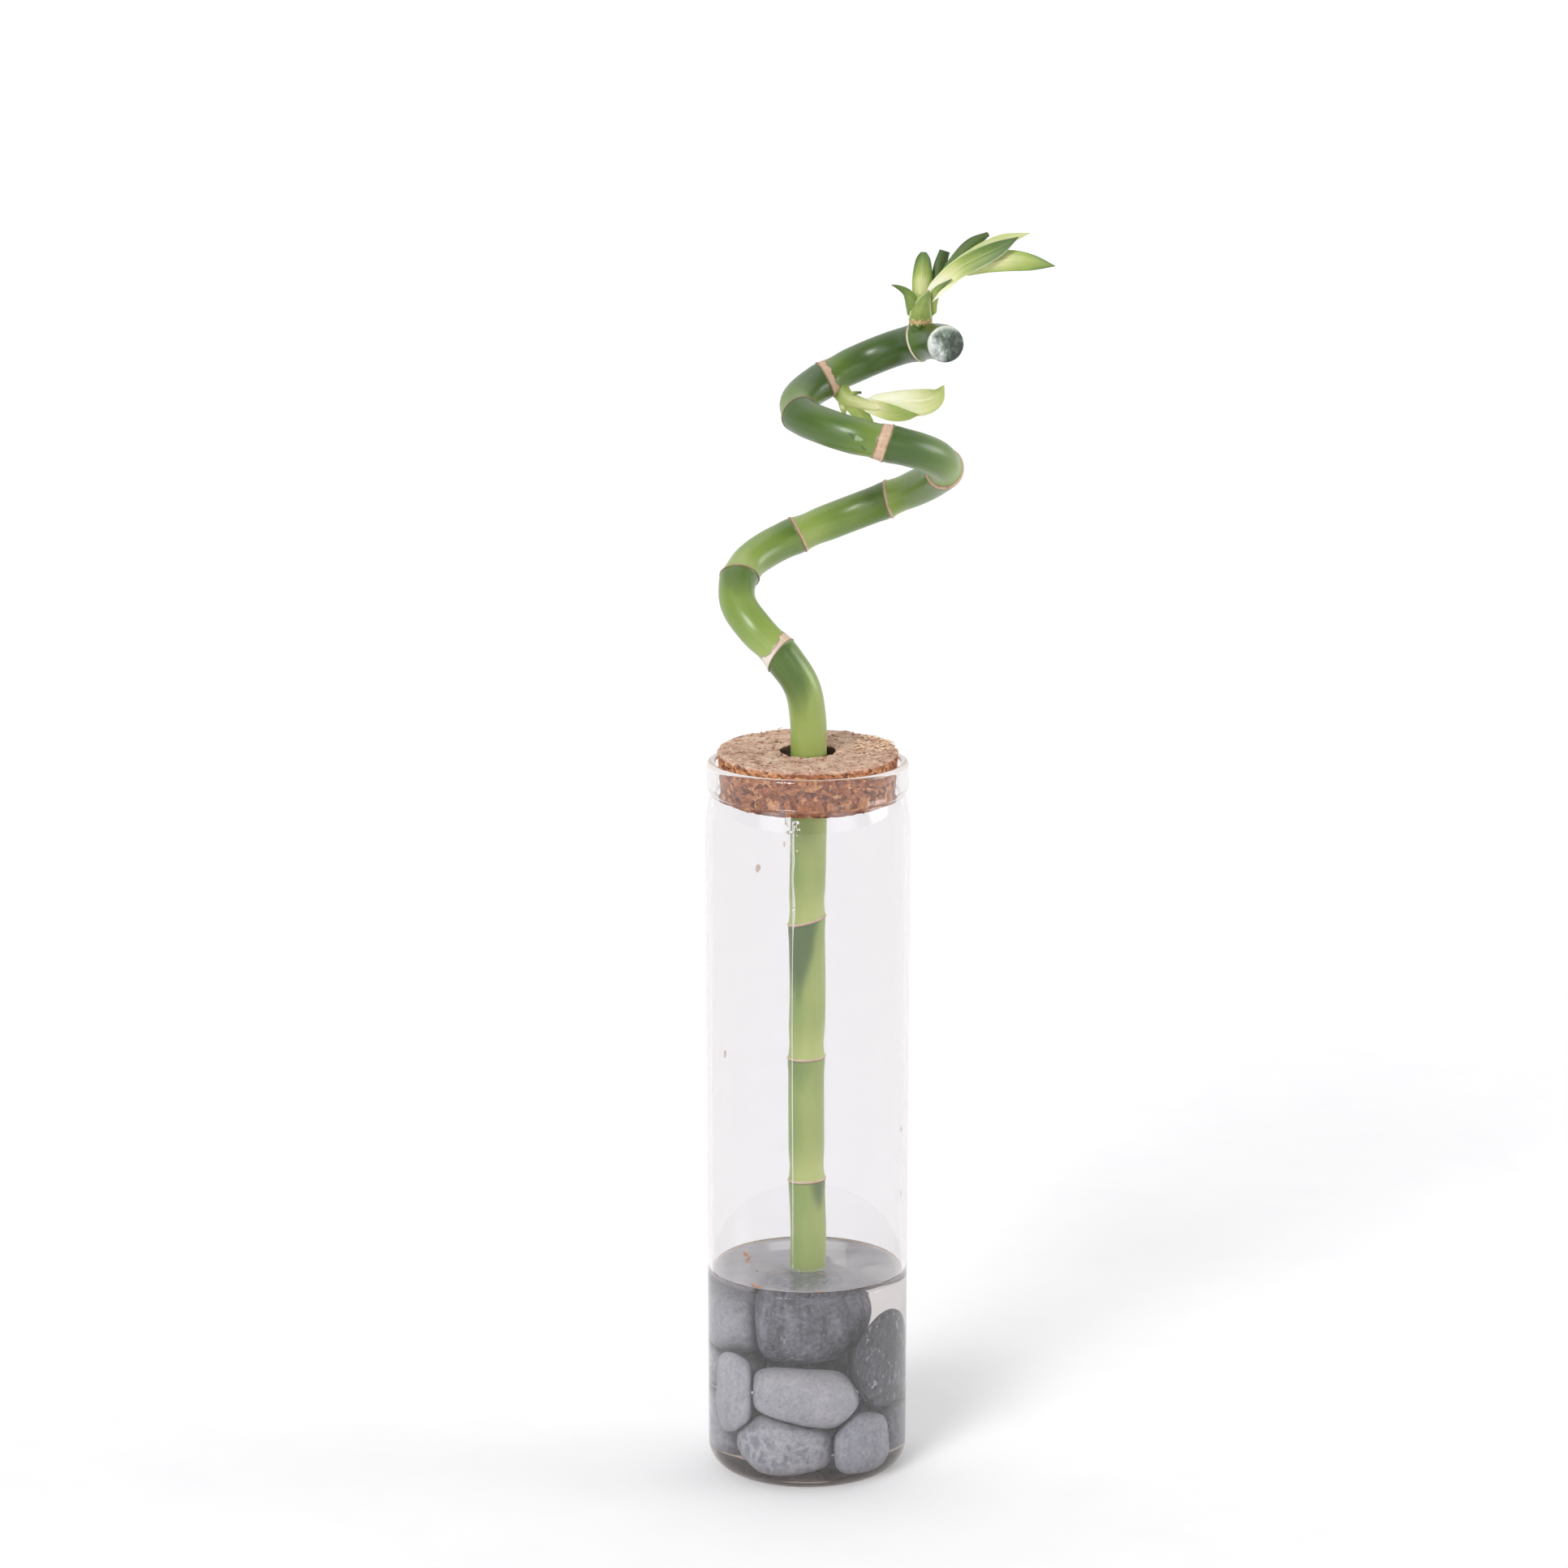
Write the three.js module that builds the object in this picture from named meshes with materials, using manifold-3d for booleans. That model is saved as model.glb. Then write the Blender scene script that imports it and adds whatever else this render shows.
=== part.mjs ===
// Lucky bamboo: one spiral cane with two leafy shoots, standing through a cork in a glass vase
// that holds water and river stones. Millimetres, +Z up. The origin is the middle of the vase's
// base, +X is to the right of a viewer in front of the vase, and the front faces -Y.

import * as THREE from "three";
import { mergeVertices } from "three/addons/utils/BufferGeometryUtils.js";
import Module from "manifold-3d";

const wasm = await Module();
wasm.setup();

// Clearance kept where one piece rests on another or passes through it
const seatGap = 0.3;

// Glass vase
const vaseHeight = 223.8;
const baseRadius = 30.7; // the cylinder is a little narrower at the base
const bodyRadius = 31.3;
const baseCornerRadius = 8;
const floorThickness = 3;
const innerCornerRadius = 6;
const innerRadius = 29.3; // inside the wall, which is blown thin
const shoulderFoot = 199; // where the wall begins to draw in
const neckHeight = 214.2;
const neckRadius = 29.7;
const mouthRadius = 28.1; // inside the neck, where the cork sits
const beadRadius = 30.75; // rolled rim
const beadHeight = 8.4;
const mouthRounding = 1.4;
const vaseSides = 40;

// Cork stopper
const corkTopRadius = 27.75;
const corkBottomRadius = 26.4;
const corkThickness = 15;
const corkHoleRadius = 8.1;
const corkChamfer = 0.6;
const corkMiddleHeight = 219.6;
const corkTilt = THREE.MathUtils.degToRad(2.7); // its top leans towards the front

// Cane
const caneRadius = 5.6;
const caneFoot = 62;
const caneSides = 12;
const straightStep = 11; // distance between sections inside the vase
const spiralStep = 6; // and on the spiral above it
const ringSwell = 0.075; // a node ring stands proud by this share of the radius
const ringWidth = 1.1;
const waistDepth = 0.06; // and the cane above it is slimmer by this share
const waistRise = 5; // the waist's middle is this far above the ring
const waistWidth = 3;
const endRadius = 5.2; // the cut end's edge is eased
const endDome = 0.9; // and its sealed face is slightly domed

// The cane's centre line: straight up through the cork, then a left-handed spiral whose first
// turn is about 33 mm in radius and whose second is about 22 mm.
const caneStations = [
  [0, 0, caneFoot],
  [0.3, 0, 74],
  [-0.2, 0, 92],
  [-0.4, 0, 130],
  [0, -0.2, 152],
  [-0.3, -0.3, 174],
  [0.1, -1, 195],
  [0.3, -2, 213],
  [0.2, -2.5, 230],
  [0, -3, 237.5],
  [-2, -5, 247.8],
  [-8.7, -6.5, 258],
  [-15.8, -4.5, 265],
  [-20.9, 1, 271.5],
  [-21.2, 8.5, 277.4],
  [-18, 16, 281.5],
  [-11.2, 23.5, 285.4],
  [1.2, 31, 289.8],
  [11.2, 34, 293.3],
  [21.1, 32.8, 297.3],
  [30.5, 27.5, 302],
  [37, 19, 306.4],
  [41, 8, 311.7],
  [38.4, -1.6, 316.3],
  [32.4, -8, 319.7],
  [22.7, -12.7, 322.7],
  [13, -12.2, 324.9],
  [4.5, -7.5, 327],
  [-2, 0.5, 329],
  [-3, 9, 331.6],
  [0.4, 17.4, 334.5],
  [8.5, 25.5, 338.3],
  [18.4, 29.2, 342.5],
  [28.2, 26.5, 346.5],
  [35.6, 19, 348.9],
  [40, 11, 349.7],
  [41.2, 4.6, 349.9],
];

// Heights of the node rings along the cane, from the foot up
const ringHeights = [92.1, 131, 174.3, 257.4, 278.5, 288.4, 299.1, 312.1, 322.5, 329.3, 336.9, 348.2];

// Leafy shoots
const bladeThickness = 0.9;
const tipHalfWidth = 0.3;
const bladeRows = 2; // rows of faces between two stations of a blade
const stalkRings = 3; // and rings between two stations of a stalk
const stalkSides = 8;

// Stalks: stations of [x, y, z, radius]
const upperStalk = [
  [33.8, 20.5, 349, 3.5],
  [34, 19, 355.5, 3.5],
  [34.3, 18, 359.5, 3],
  [35.2, 17.8, 363, 2.6],
];
const lowerStalk = [
  [8.6, 24.2, 335.6, 2.8],
  [11.4, 22, 331.6, 2.6],
  [15, 20, 330.2, 2.2],
  [19.4, 17.8, 329.2, 1.9],
];

// Blades: a spine of [x, y, z, half width], the sideways direction of the blade, and how far its
// edges rise above the spine as a share of the half width.
const upperBlades = [
  // sheath that curls away to the left
  {
    spine: [
      [33.2, 16.6, 356, 2.8],
      [31.6, 15.6, 360.9, 2.3],
      [29.6, 15.3, 364.2, 1.3],
      [27.3, 15.3, 365.7, 0.7],
      [25.1, 15.4, 366.5, tipHalfWidth],
    ],
    across: [1, 0, 1],
    cup: -0.5,
  },
  // pointed sheath in front
  {
    spine: [
      [33.7, 15.6, 353.5, 3.5],
      [34, 14.7, 358, 3.2],
      [35, 14.3, 361.3, 2.1],
      [36, 14.3, 363.6, 0.95],
      [36.4, 14.6, 365, tipHalfWidth],
    ],
    across: [1, 0, 0],
    cup: -0.5,
  },
  // sheath that opens to the right
  {
    spine: [
      [35.8, 17.6, 356.5, 2.8],
      [37, 16.4, 361, 2],
      [38.9, 15.8, 364.8, 1.2],
      [43.1, 14.7, 368.3, tipHalfWidth],
    ],
    across: [1, 0, -1],
    cup: -0.4,
  },
  // upright blunt leaf
  {
    spine: [
      [34.4, 17.6, 359, 2.3],
      [34.3, 17.2, 364, 2.9],
      [34.5, 17.6, 370, 2.9],
      [34.7, 18.4, 374.4, 2],
      [34.8, 18.7, 376, 0.9],
    ],
    across: [1, 0, 0],
    cup: -0.5,
  },
  // short dark leaf behind it
  {
    spine: [[36.4, 18.6, 361, 2], [38.8, 20.6, 367, 2], [40.2, 21.6, 372, 2], [41.4, 22, 376, 1.7]],
    across: [1, 0.3, 0],
    cup: -0.3,
  },
  // long leading leaf
  {
    spine: [
      [35.6, 17.4, 360, 2.2],
      [39.6, 16.8, 365.8, 2.6],
      [45.2, 16.4, 371, 2.9],
      [51.6, 15.8, 374.6, 3],
      [57.6, 15, 377.6, 2.3],
      [63.1, 14, 381, tipHalfWidth],
    ],
    across: [0.35, 0.1, 1],
    cup: -0.35,
  },
  // pale leaf whose tip shows behind the leading leaf
  {
    spine: [
      [37.6, 17.4, 362.6, 1.6],
      [43.4, 18.2, 370.4, 2],
      [50.4, 19.2, 375.4, 2.2],
      [58.6, 19.8, 379.4, 2],
      [66.7, 20, 381.6, tipHalfWidth],
    ],
    across: [0.35, 0.3, 1],
    cup: 0.2,
  },
  // small dark leaf behind both
  {
    spine: [[38.4, 18.2, 364.4, 1.4], [44, 20.6, 372.4, 1.9], [49.4, 22.4, 378, 1.9], [54.4, 23.6, 381, 0.7]],
    across: [0.35, 0.2, 1],
    cup: 0.2,
  },
  // pale leaf to the right
  {
    spine: [
      [44, 16.8, 369.6, 1.5],
      [52, 16.8, 372.2, 2.4],
      [59.5, 15.6, 373.8, 3.2],
      [67, 14, 373.4, 2.4],
      [74, 12.2, 372.5, tipHalfWidth],
    ],
    across: [-0.1, 0.2, 1],
    cup: 0.25,
  },
];
const lowerBlades = [
  // scale that points up
  {
    spine: [[11.2, 21.4, 332.4, 1.8], [13.4, 20.4, 333, 1.2], [16.2, 19.6, 333.4, tipHalfWidth]],
    across: [0, 1, 0],
    cup: 0.3,
  },
  // scale that points down
  {
    spine: [[10.6, 22, 331, 1.6], [10.8, 21, 328.4, 1.1], [11.2, 20, 325.8, tipHalfWidth]],
    across: [1, 0, 0],
    cup: 0.3,
  },
  // small leaf that hangs towards the front
  {
    spine: [[11.6, 21, 331, 1.8], [14.4, 18.8, 328.4, 2.2], [17.6, 16.4, 325.2, 2], [19.6, 14.8, 322.4, 0.9]],
    across: [0.5, 0.2, 0.8],
    cup: 0.3,
  },
  // folded leaf
  {
    spine: [
      [16, 19.4, 330, 1.8],
      [21, 16.8, 328.9, 2.4],
      [26.4, 13, 327.8, 2.5],
      [30.4, 10, 327.6, 1.6],
      [33.4, 8, 328.2, tipHalfWidth],
    ],
    across: [0, 0.35, 1],
    cup: -0.55,
  },
  // large pale leaf
  {
    spine: [
      [16.4, 19.6, 330.4, 1.5],
      [22, 17.6, 331.2, 2.5],
      [28.6, 15.4, 331.4, 3.7],
      [35, 13.2, 331.7, 4.1],
      [38.6, 12.5, 333.2, 2.9],
      [40.9, 12, 336.5, tipHalfWidth],
    ],
    across: [-0.2, 0.5, 1],
    cup: 0.3,
  },
];

// Water
const waterLevel = 63.8;
const waterSides = 36;
const caneHoleMargin = 0.9; // the plain hole that the cane's foot stands in
const caneHoleSides = 24;
const stoneHoleMargin = 0.6; // so that the water clears the stones by the seat gap or more

// River stones, lowest layer first: middle, half sizes, turn about the vertical and tilt to the
// right in degrees, and the share by which the top is slimmer than the middle
const stoneSpots = [
  { at: [-6, -15.5, 12], half: [14.5, 11, 10.2], turn: 8, tilt: 8, taper: 0 },
  { at: [15, -14.5, 12.8], half: [8.2, 11, 11], turn: -20, tilt: 12, taper: 0 },
  { at: [-19, 7, 13], half: [10, 12, 11], turn: 12, tilt: 0, taper: 0 },
  { at: [1, 17.5, 12.5], half: [13, 10, 10], turn: -6, tilt: 0, taper: 0 },
  { at: [17, 11, 12], half: [10, 12, 10], turn: -10, tilt: 5, taper: 0 },
  { at: [1, 2, 13], half: [9, 8, 9.5], turn: 35, tilt: 0, taper: 0 },
  { at: [-1, -16, 27.7], half: [16.8, 10, 10.4], turn: 4, tilt: 7, taper: 0 },
  { at: [-20, -12.8, 27.5], half: [5.8, 8, 14], turn: 30, tilt: 2, taper: 0 },
  { at: [-17, 10, 32], half: [11, 12, 11], turn: -35, tilt: 0, taper: 0 },
  { at: [23.5, -4.5, 15], half: [5.5, 9, 8], turn: -30, tilt: 0, taper: 0 },
  { at: [2, 19.5, 30], half: [13, 8, 11], turn: 5, tilt: 0, taper: 0 },
  { at: [18, 12, 30], half: [10, 12, 11], turn: 20, tilt: 0, taper: 0 },
  { at: [0, 2, 32], half: [10, 9, 10], turn: -15, tilt: 0, taper: 0 },
  { at: [-1, -4, 49.5], half: [16.5, 15, 14.5], turn: 10, tilt: 0, taper: 0.1 },
  { at: [-17.5, 2, 48], half: [11.5, 14, 10.5], turn: 15, tilt: -12, taper: 0 },
  { at: [20.3, -9, 37], half: [8.6, 11, 16.3], turn: -25, tilt: 5, taper: 0.14 },
  { at: [-4, 18, 49.5], half: [11.5, 9, 11], turn: 0, tilt: 0, taper: 0.1 },
];
const stoneDetail = 2; // subdivision of the icosahedron that each stone starts as
const stoneSquareness = 2.4; // 2 is an ellipsoid, and more is boxier
const stoneRoundness = 10; // how tightly a stone's face turns where it meets a neighbour
const stoneUnevenness = 0.05;

// A closed three.js geometry as a solid that can be joined and cut.
function solidOf(geometry) {
  const bare = geometry.clone();
  bare.deleteAttribute("normal");
  bare.deleteAttribute("uv");
  const merged = mergeVertices(bare, 1e-4);
  return new wasm.Manifold(
    new wasm.Mesh({
      numProp: 3,
      vertProperties: new Float32Array(merged.attributes.position.array),
      triVerts: new Uint32Array(merged.index.array),
    }),
  );
}

// And a solid back as a three.js geometry.
function geometryOf(solid) {
  const cut = solid.getMesh();
  const geometry = new THREE.BufferGeometry();
  geometry.setAttribute("position", new THREE.BufferAttribute(new Float32Array(cut.vertProperties), 3));
  geometry.setIndex(new THREE.BufferAttribute(new Uint32Array(cut.triVerts), 1));
  return geometry;
}

// An indexed geometry from a list of points and a list of corner numbers.
function geometryFrom(points, corners) {
  const geometry = new THREE.BufferGeometry().setFromPoints(points);
  geometry.setIndex(corners);
  return geometry;
}

// A profile of (radius, height) turned about the vertical axis.
function turned(profile, sides) {
  return new THREE.LatheGeometry(profile, sides).rotateX(Math.PI / 2);
}

// Corner numbers of the skin between rings of equal length, closed by a fan at each end. The
// middle of the first ring is point number first, and that of the last is point number last.
function tubeCorners(ringCount, sides, first, last) {
  const corners = [];
  for (let ring = 0; ring + 1 < ringCount; ring += 1) {
    for (let side = 0; side < sides; side += 1) {
      const a = ring * sides + side;
      const b = ring * sides + ((side + 1) % sides);
      corners.push(a, b, b + sides, a, b + sides, a + sides);
    }
  }
  const top = (ringCount - 1) * sides;
  for (let side = 0; side < sides; side += 1) {
    const next = (side + 1) % sides;
    corners.push(first, next, side);
    corners.push(last, top + side, top + next);
  }
  return corners;
}

// A round body along a curve. Its sections stand square to the curve at the given distances
// along it, and don't twist from one to the next.
function sweptCane(curve, distances, radii, sides, dome) {
  const length = curve.getLength();
  const points = [];
  const tangent = curve.getTangentAt(0);
  const side = new THREE.Vector3(1, 0, 0).projectOnPlane(tangent).normalize();
  const turn = new THREE.Quaternion();
  distances.forEach((distance, ring) => {
    const share = THREE.MathUtils.clamp(distance / length, 0, 1);
    const centre = curve.getPointAt(share);
    const heading = curve.getTangentAt(share);
    turn.setFromUnitVectors(tangent, heading);
    side.applyQuaternion(turn).projectOnPlane(heading).normalize();
    tangent.copy(heading);
    const across = new THREE.Vector3().crossVectors(heading, side);
    for (let step = 0; step < sides; step += 1) {
      const angle = (2 * Math.PI * step) / sides;
      const reach = side.clone().multiplyScalar(Math.cos(angle)).addScaledVector(across, Math.sin(angle));
      points.push(centre.clone().addScaledVector(reach, radii[ring]));
    }
  });
  points.push(curve.getPointAt(0));
  points.push(curve.getPointAt(1).addScaledVector(tangent, dome));
  return geometryFrom(points, tubeCorners(distances.length, sides, points.length - 2, points.length - 1));
}

const caneCurve = new THREE.CatmullRomCurve3(
  caneStations.map((station) => new THREE.Vector3(...station)),
  false,
  "centripetal",
);
caneCurve.arcLengthDivisions = 2000;

// Distance along the cane at which it reaches a height, found by halving.
function distanceAtHeight(height) {
  let low = 0;
  let high = 1;
  while (high - low > 1e-5) {
    const middle = (low + high) / 2;
    if (caneCurve.getPointAt(middle).z < height) {
      low = middle;
    } else {
      high = middle;
    }
  }
  return low * caneCurve.getLength();
}

const ringDistances = ringHeights.map(distanceAtHeight);

// The cane's radius: a narrow swelling at each node ring and a shallow waist just above it.
function caneRadiusAt(distance) {
  let share = 1;
  for (const ring of ringDistances) {
    share += ringSwell * Math.exp(-(((distance - ring) / ringWidth) ** 2));
    share -= waistDepth * Math.exp(-(((distance - ring - waistRise) / waistWidth) ** 2));
  }
  return caneRadius * share;
}

// Sections of the cane: evenly spaced, closer on the spiral, with a few more round each ring.
function caneSections() {
  const length = caneCurve.getLength();
  const spiralStart = distanceAtHeight(vaseHeight);
  const marks = [0];
  for (const ring of ringDistances) {
    marks.push(ring - 1.5 * ringWidth, ring, ring + 1.5 * ringWidth, ring + waistRise);
  }
  const settled = [...marks];
  let distance = 0;
  while (distance < length) {
    const step = distance < spiralStart ? straightStep : spiralStep;
    if (settled.every((mark) => Math.abs(mark - distance) > step / 3)) {
      marks.push(distance);
    }
    distance += step;
  }
  const inside = marks.filter((mark) => mark < length - 2 * endDome).sort((a, b) => a - b);
  return [...inside, length - endDome, length];
}

function caneGeometry(growth) {
  const distances = caneSections();
  const radii = distances.map((distance) => caneRadiusAt(distance) + growth);
  radii[radii.length - 1] = endRadius + growth;
  return sweptCane(caneCurve, distances, radii, caneSides, endDome + growth);
}

// The glass: flat foot, rounded corner, near-straight wall, drawn-in neck and rolled rim outside,
// and inside a wall that follows it, with a rounded floor.
function vaseGeometry() {
  const footRadius = baseRadius - baseCornerRadius;
  const beadMiddle = vaseHeight - beadHeight / 2;
  const outline = new THREE.Path();
  outline.moveTo(0, 0);
  outline.lineTo(footRadius, 0);
  outline.absarc(footRadius, baseCornerRadius, baseCornerRadius, -Math.PI / 2, 0, false);
  outline.lineTo(bodyRadius, shoulderFoot);
  outline.quadraticCurveTo(bodyRadius, neckHeight - 6, neckRadius, neckHeight);
  outline.quadraticCurveTo(beadRadius, neckHeight + 1, beadRadius, beadMiddle);
  outline.quadraticCurveTo(beadRadius, vaseHeight, beadRadius - mouthRounding, vaseHeight);
  outline.lineTo(mouthRadius + mouthRounding / 2, vaseHeight);
  outline.lineTo(mouthRadius, vaseHeight - mouthRounding);
  outline.lineTo(mouthRadius, neckHeight);
  outline.quadraticCurveTo(innerRadius, neckHeight - 6, innerRadius, shoulderFoot);
  outline.lineTo(innerRadius, floorThickness + innerCornerRadius);
  outline.absarc(
    innerRadius - innerCornerRadius,
    floorThickness + innerCornerRadius,
    innerCornerRadius,
    0,
    -Math.PI / 2,
    true,
  );
  outline.lineTo(0, floorThickness);
  return turned(outline.getPoints(3), vaseSides);
}

// The cork: a tapered ring with eased edges, about its own middle.
function corkGeometry() {
  const half = corkThickness / 2;
  const profile = [
    [corkHoleRadius, -half],
    [corkBottomRadius - corkChamfer, -half],
    [corkBottomRadius, -half + corkChamfer],
    [corkTopRadius, half - corkChamfer],
    [corkTopRadius - corkChamfer, half],
    [corkHoleRadius, half],
    [corkHoleRadius, -half],
  ];
  const points = profile.map(([radius, height]) => new THREE.Vector2(radius, height));
  return turned(points, vaseSides);
}

// A leaf or sheath blade: a strip of even thickness along its spine, its section a shallow
// curve whose edges rise by cup. Its two faces are joined along the sides and at both ends.
function bladeSolid({ spine, across, cup }) {
  const columns = [-1, -0.5, 0, 0.5, 1];
  const rows = bladeRows * (spine.length - 1);
  const middleLine = new THREE.CatmullRomCurve3(spine.map(([x, y, z]) => new THREE.Vector3(x, y, z)));
  const widths = new THREE.SplineCurve(spine.map((station, index) => new THREE.Vector2(index, station[3])));
  const upper = [];
  const lower = [];
  for (let row = 0; row <= rows; row += 1) {
    const centre = middleLine.getPoint(row / rows);
    const heading = middleLine.getTangent(row / rows);
    const halfWidth = Math.max(widths.getPoint(row / rows).y, tipHalfWidth);
    const sideways = new THREE.Vector3(...across).projectOnPlane(heading).normalize();
    const face = new THREE.Vector3().crossVectors(sideways, heading);
    for (const column of columns) {
      const rise = cup * halfWidth * Math.abs(column) ** 1.5;
      const point = centre.clone().addScaledVector(sideways, column * halfWidth).addScaledVector(face, rise);
      upper.push(point.clone().addScaledVector(face, bladeThickness / 2));
      lower.push(point.clone().addScaledVector(face, -bladeThickness / 2));
    }
  }
  return solidOf(geometryFrom([...upper, ...lower], bladeCorners(rows, columns.length)));
}

// Corner numbers of a blade whose upper face is rows of points followed by its lower face.
function bladeCorners(rows, wide) {
  const corners = [];
  const quad = (a, b, c, d) => corners.push(a, b, c, a, c, d);
  const under = (rows + 1) * wide;
  for (let row = 0; row < rows; row += 1) {
    for (let column = 0; column + 1 < wide; column += 1) {
      const a = row * wide + column;
      quad(a, a + 1, a + 1 + wide, a + wide);
      quad(under + a, under + a + wide, under + a + 1 + wide, under + a + 1);
    }
    const left = row * wide;
    const right = left + wide - 1;
    quad(left, left + wide, under + left + wide, under + left);
    quad(right + wide, right, under + right, under + right + wide);
  }
  const tip = rows * wide;
  for (let column = 0; column + 1 < wide; column += 1) {
    quad(column + 1, column, under + column, under + column + 1);
    quad(tip + column, tip + column + 1, under + tip + column + 1, under + tip + column);
  }
  return corners;
}

// A short fleshy stalk with a round section that follows its stations.
function stalkSolid(stations) {
  const curve = new THREE.CatmullRomCurve3(stations.map(([x, y, z]) => new THREE.Vector3(x, y, z)));
  const girth = new THREE.SplineCurve(stations.map((station, index) => new THREE.Vector2(index, station[3])));
  const rings = stalkRings * (stations.length - 1);
  const shares = Array.from({ length: rings + 1 }, (_, ring) => ring / rings);
  const distances = shares.map((share) => share * curve.getLength());
  const radii = shares.map((share) => girth.getPoint(share).y);
  return solidOf(sweptCane(curve, distances, radii, stalkSides, 0));
}

// The cane with the seat gap round it, which the shoots are cut back from.
const caneClearance = solidOf(caneGeometry(seatGap));

// The largest body of a solid, without loose scraps that a cut leaves.
function largestBody(solid) {
  const bodies = solid.decompose();
  return bodies.reduce((best, body) => (body.volume() > best.volume() ? body : best));
}

// A shoot: its stalk and blades joined, and cut back to sit on the cane.
function shootGeometry(stalk, blades) {
  const joined = blades.reduce((whole, blade) => whole.add(bladeSolid(blade)), stalkSolid(stalk));
  return geometryOf(largestBody(joined.subtract(caneClearance)));
}

const stones = stoneSpots.map(({ at, half, turn, tilt, taper }, index) => ({
  name: `stone_${String(index + 1).padStart(2, "0")}`,
  centre: new THREE.Vector3(...at),
  half: new THREE.Vector3(...half),
  turn: THREE.MathUtils.degToRad(turn),
  tilt: THREE.MathUtils.degToRad(tilt),
  taper,
  phase: index * 2.4,
}));

// How far an unhindered stone reaches from its middle in a direction: a rounded block, turned,
// tilted and slimmer at its top, with slow, shallow waves on it.
function freeReach(stone, direction) {
  const own = direction.clone().applyAxisAngle(new THREE.Vector3(0, 0, 1), -stone.turn);
  own.applyAxisAngle(new THREE.Vector3(0, 1, 0), -stone.tilt);
  const girth = 1 - stone.taper * own.z;
  const power = stoneSquareness;
  const sum =
    Math.abs(own.x / (stone.half.x * girth)) ** power +
    Math.abs(own.y / (stone.half.y * girth)) ** power +
    Math.abs(own.z / stone.half.z) ** power;
  const sideWave = Math.sin(3 * own.x + stone.phase) * Math.sin(2.6 * own.y - stone.phase);
  const wave = sideWave + Math.sin(3.4 * own.z + stone.phase);
  return sum ** (-1 / power) * (1 + stoneUnevenness * wave);
}

// How far a stone may reach in a direction before it meets another stone, the glass, the floor
// or the foot of the cane. Two stones share the room between them as their free reaches do.
function limitsOn(stone, direction) {
  const limits = [];
  const limitBy = (normal, room) => {
    const slope = direction.dot(normal);
    if (slope > 1e-3) {
      limits.push(room / slope);
    }
  };
  for (const other of stones) {
    if (other !== stone) {
      const towards = other.centre.clone().sub(stone.centre);
      const apart = towards.length();
      towards.normalize();
      const mine = freeReach(stone, towards);
      const theirs = freeReach(other, towards.clone().negate());
      limitBy(towards, (apart * mine) / (mine + theirs) - seatGap / 2);
    }
  }
  limitBy(new THREE.Vector3(0, 0, -1), stone.centre.z - floorThickness - seatGap);
  limitBy(new THREE.Vector3(0, 0, 1), caneFoot - seatGap - stone.centre.z);
  const wall = innerRadius * Math.cos(Math.PI / vaseSides) - seatGap;
  const flat = direction.x ** 2 + direction.y ** 2;
  if (flat > 1e-6) {
    const along = stone.centre.x * direction.x + stone.centre.y * direction.y;
    const out = stone.centre.x ** 2 + stone.centre.y ** 2 - wall ** 2;
    limits.push((-along + Math.sqrt(along ** 2 - flat * out)) / flat);
  }
  const low = floorThickness + innerCornerRadius;
  if (stone.centre.z < low + stone.half.z) {
    const corner = new THREE.Vector3(stone.centre.x, stone.centre.y, 0).normalize();
    corner.z = -1;
    corner.normalize();
    const inset = wall - innerCornerRadius;
    const cornerRoom =
      (inset - Math.hypot(stone.centre.x, stone.centre.y)) * Math.SQRT1_2 +
      (stone.centre.z - low) * Math.SQRT1_2 +
      innerCornerRadius -
      seatGap;
    limitBy(corner, cornerRoom);
  }
  return limits;
}

// A stone fitted into its place, grown by a margin where it has to be cut out of the water.
function stoneGeometry(stone, margin) {
  const geometry = new THREE.IcosahedronGeometry(1, stoneDetail);
  const positions = geometry.attributes.position;
  const direction = new THREE.Vector3();
  for (let i = 0; i < positions.count; i += 1) {
    direction.fromBufferAttribute(positions, i).normalize();
    const reaches = [freeReach(stone, direction), ...limitsOn(stone, direction)];
    const sum = reaches.reduce((total, reach) => total + reach ** -stoneRoundness, 0);
    const reach = sum ** (-1 / stoneRoundness) + margin;
    positions.setXYZ(i, ...stone.centre.clone().addScaledVector(direction, reach).toArray());
  }
  return geometry;
}

// The water: the inside of the vase up to its level, less the stones and a plain hole for the
// cane's foot.
function waterGeometry() {
  const radius = innerRadius * Math.cos(Math.PI / vaseSides) - seatGap;
  const bottom = floorThickness + seatGap;
  const outline = new THREE.Path();
  outline.moveTo(0, bottom);
  outline.lineTo(radius - innerCornerRadius, bottom);
  const cornerMiddle = radius - innerCornerRadius;
  outline.absarc(cornerMiddle, bottom + innerCornerRadius, innerCornerRadius, -Math.PI / 2, 0, false);
  outline.lineTo(radius, waterLevel);
  outline.lineTo(0, waterLevel);
  let water = solidOf(turned(outline.getPoints(3), waterSides));
  for (const stone of stones) {
    water = water.subtract(solidOf(stoneGeometry(stone, stoneHoleMargin)));
  }
  const holeRadius = caneRadius + caneHoleMargin;
  const holeDepth = 2 * (waterLevel - caneFoot + seatGap);
  const hole = new THREE.CylinderGeometry(holeRadius, holeRadius, holeDepth, caneHoleSides);
  hole.rotateX(Math.PI / 2).translate(0, 0, waterLevel);
  return geometryOf(largestBody(water.subtract(solidOf(hole))));
}

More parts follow.
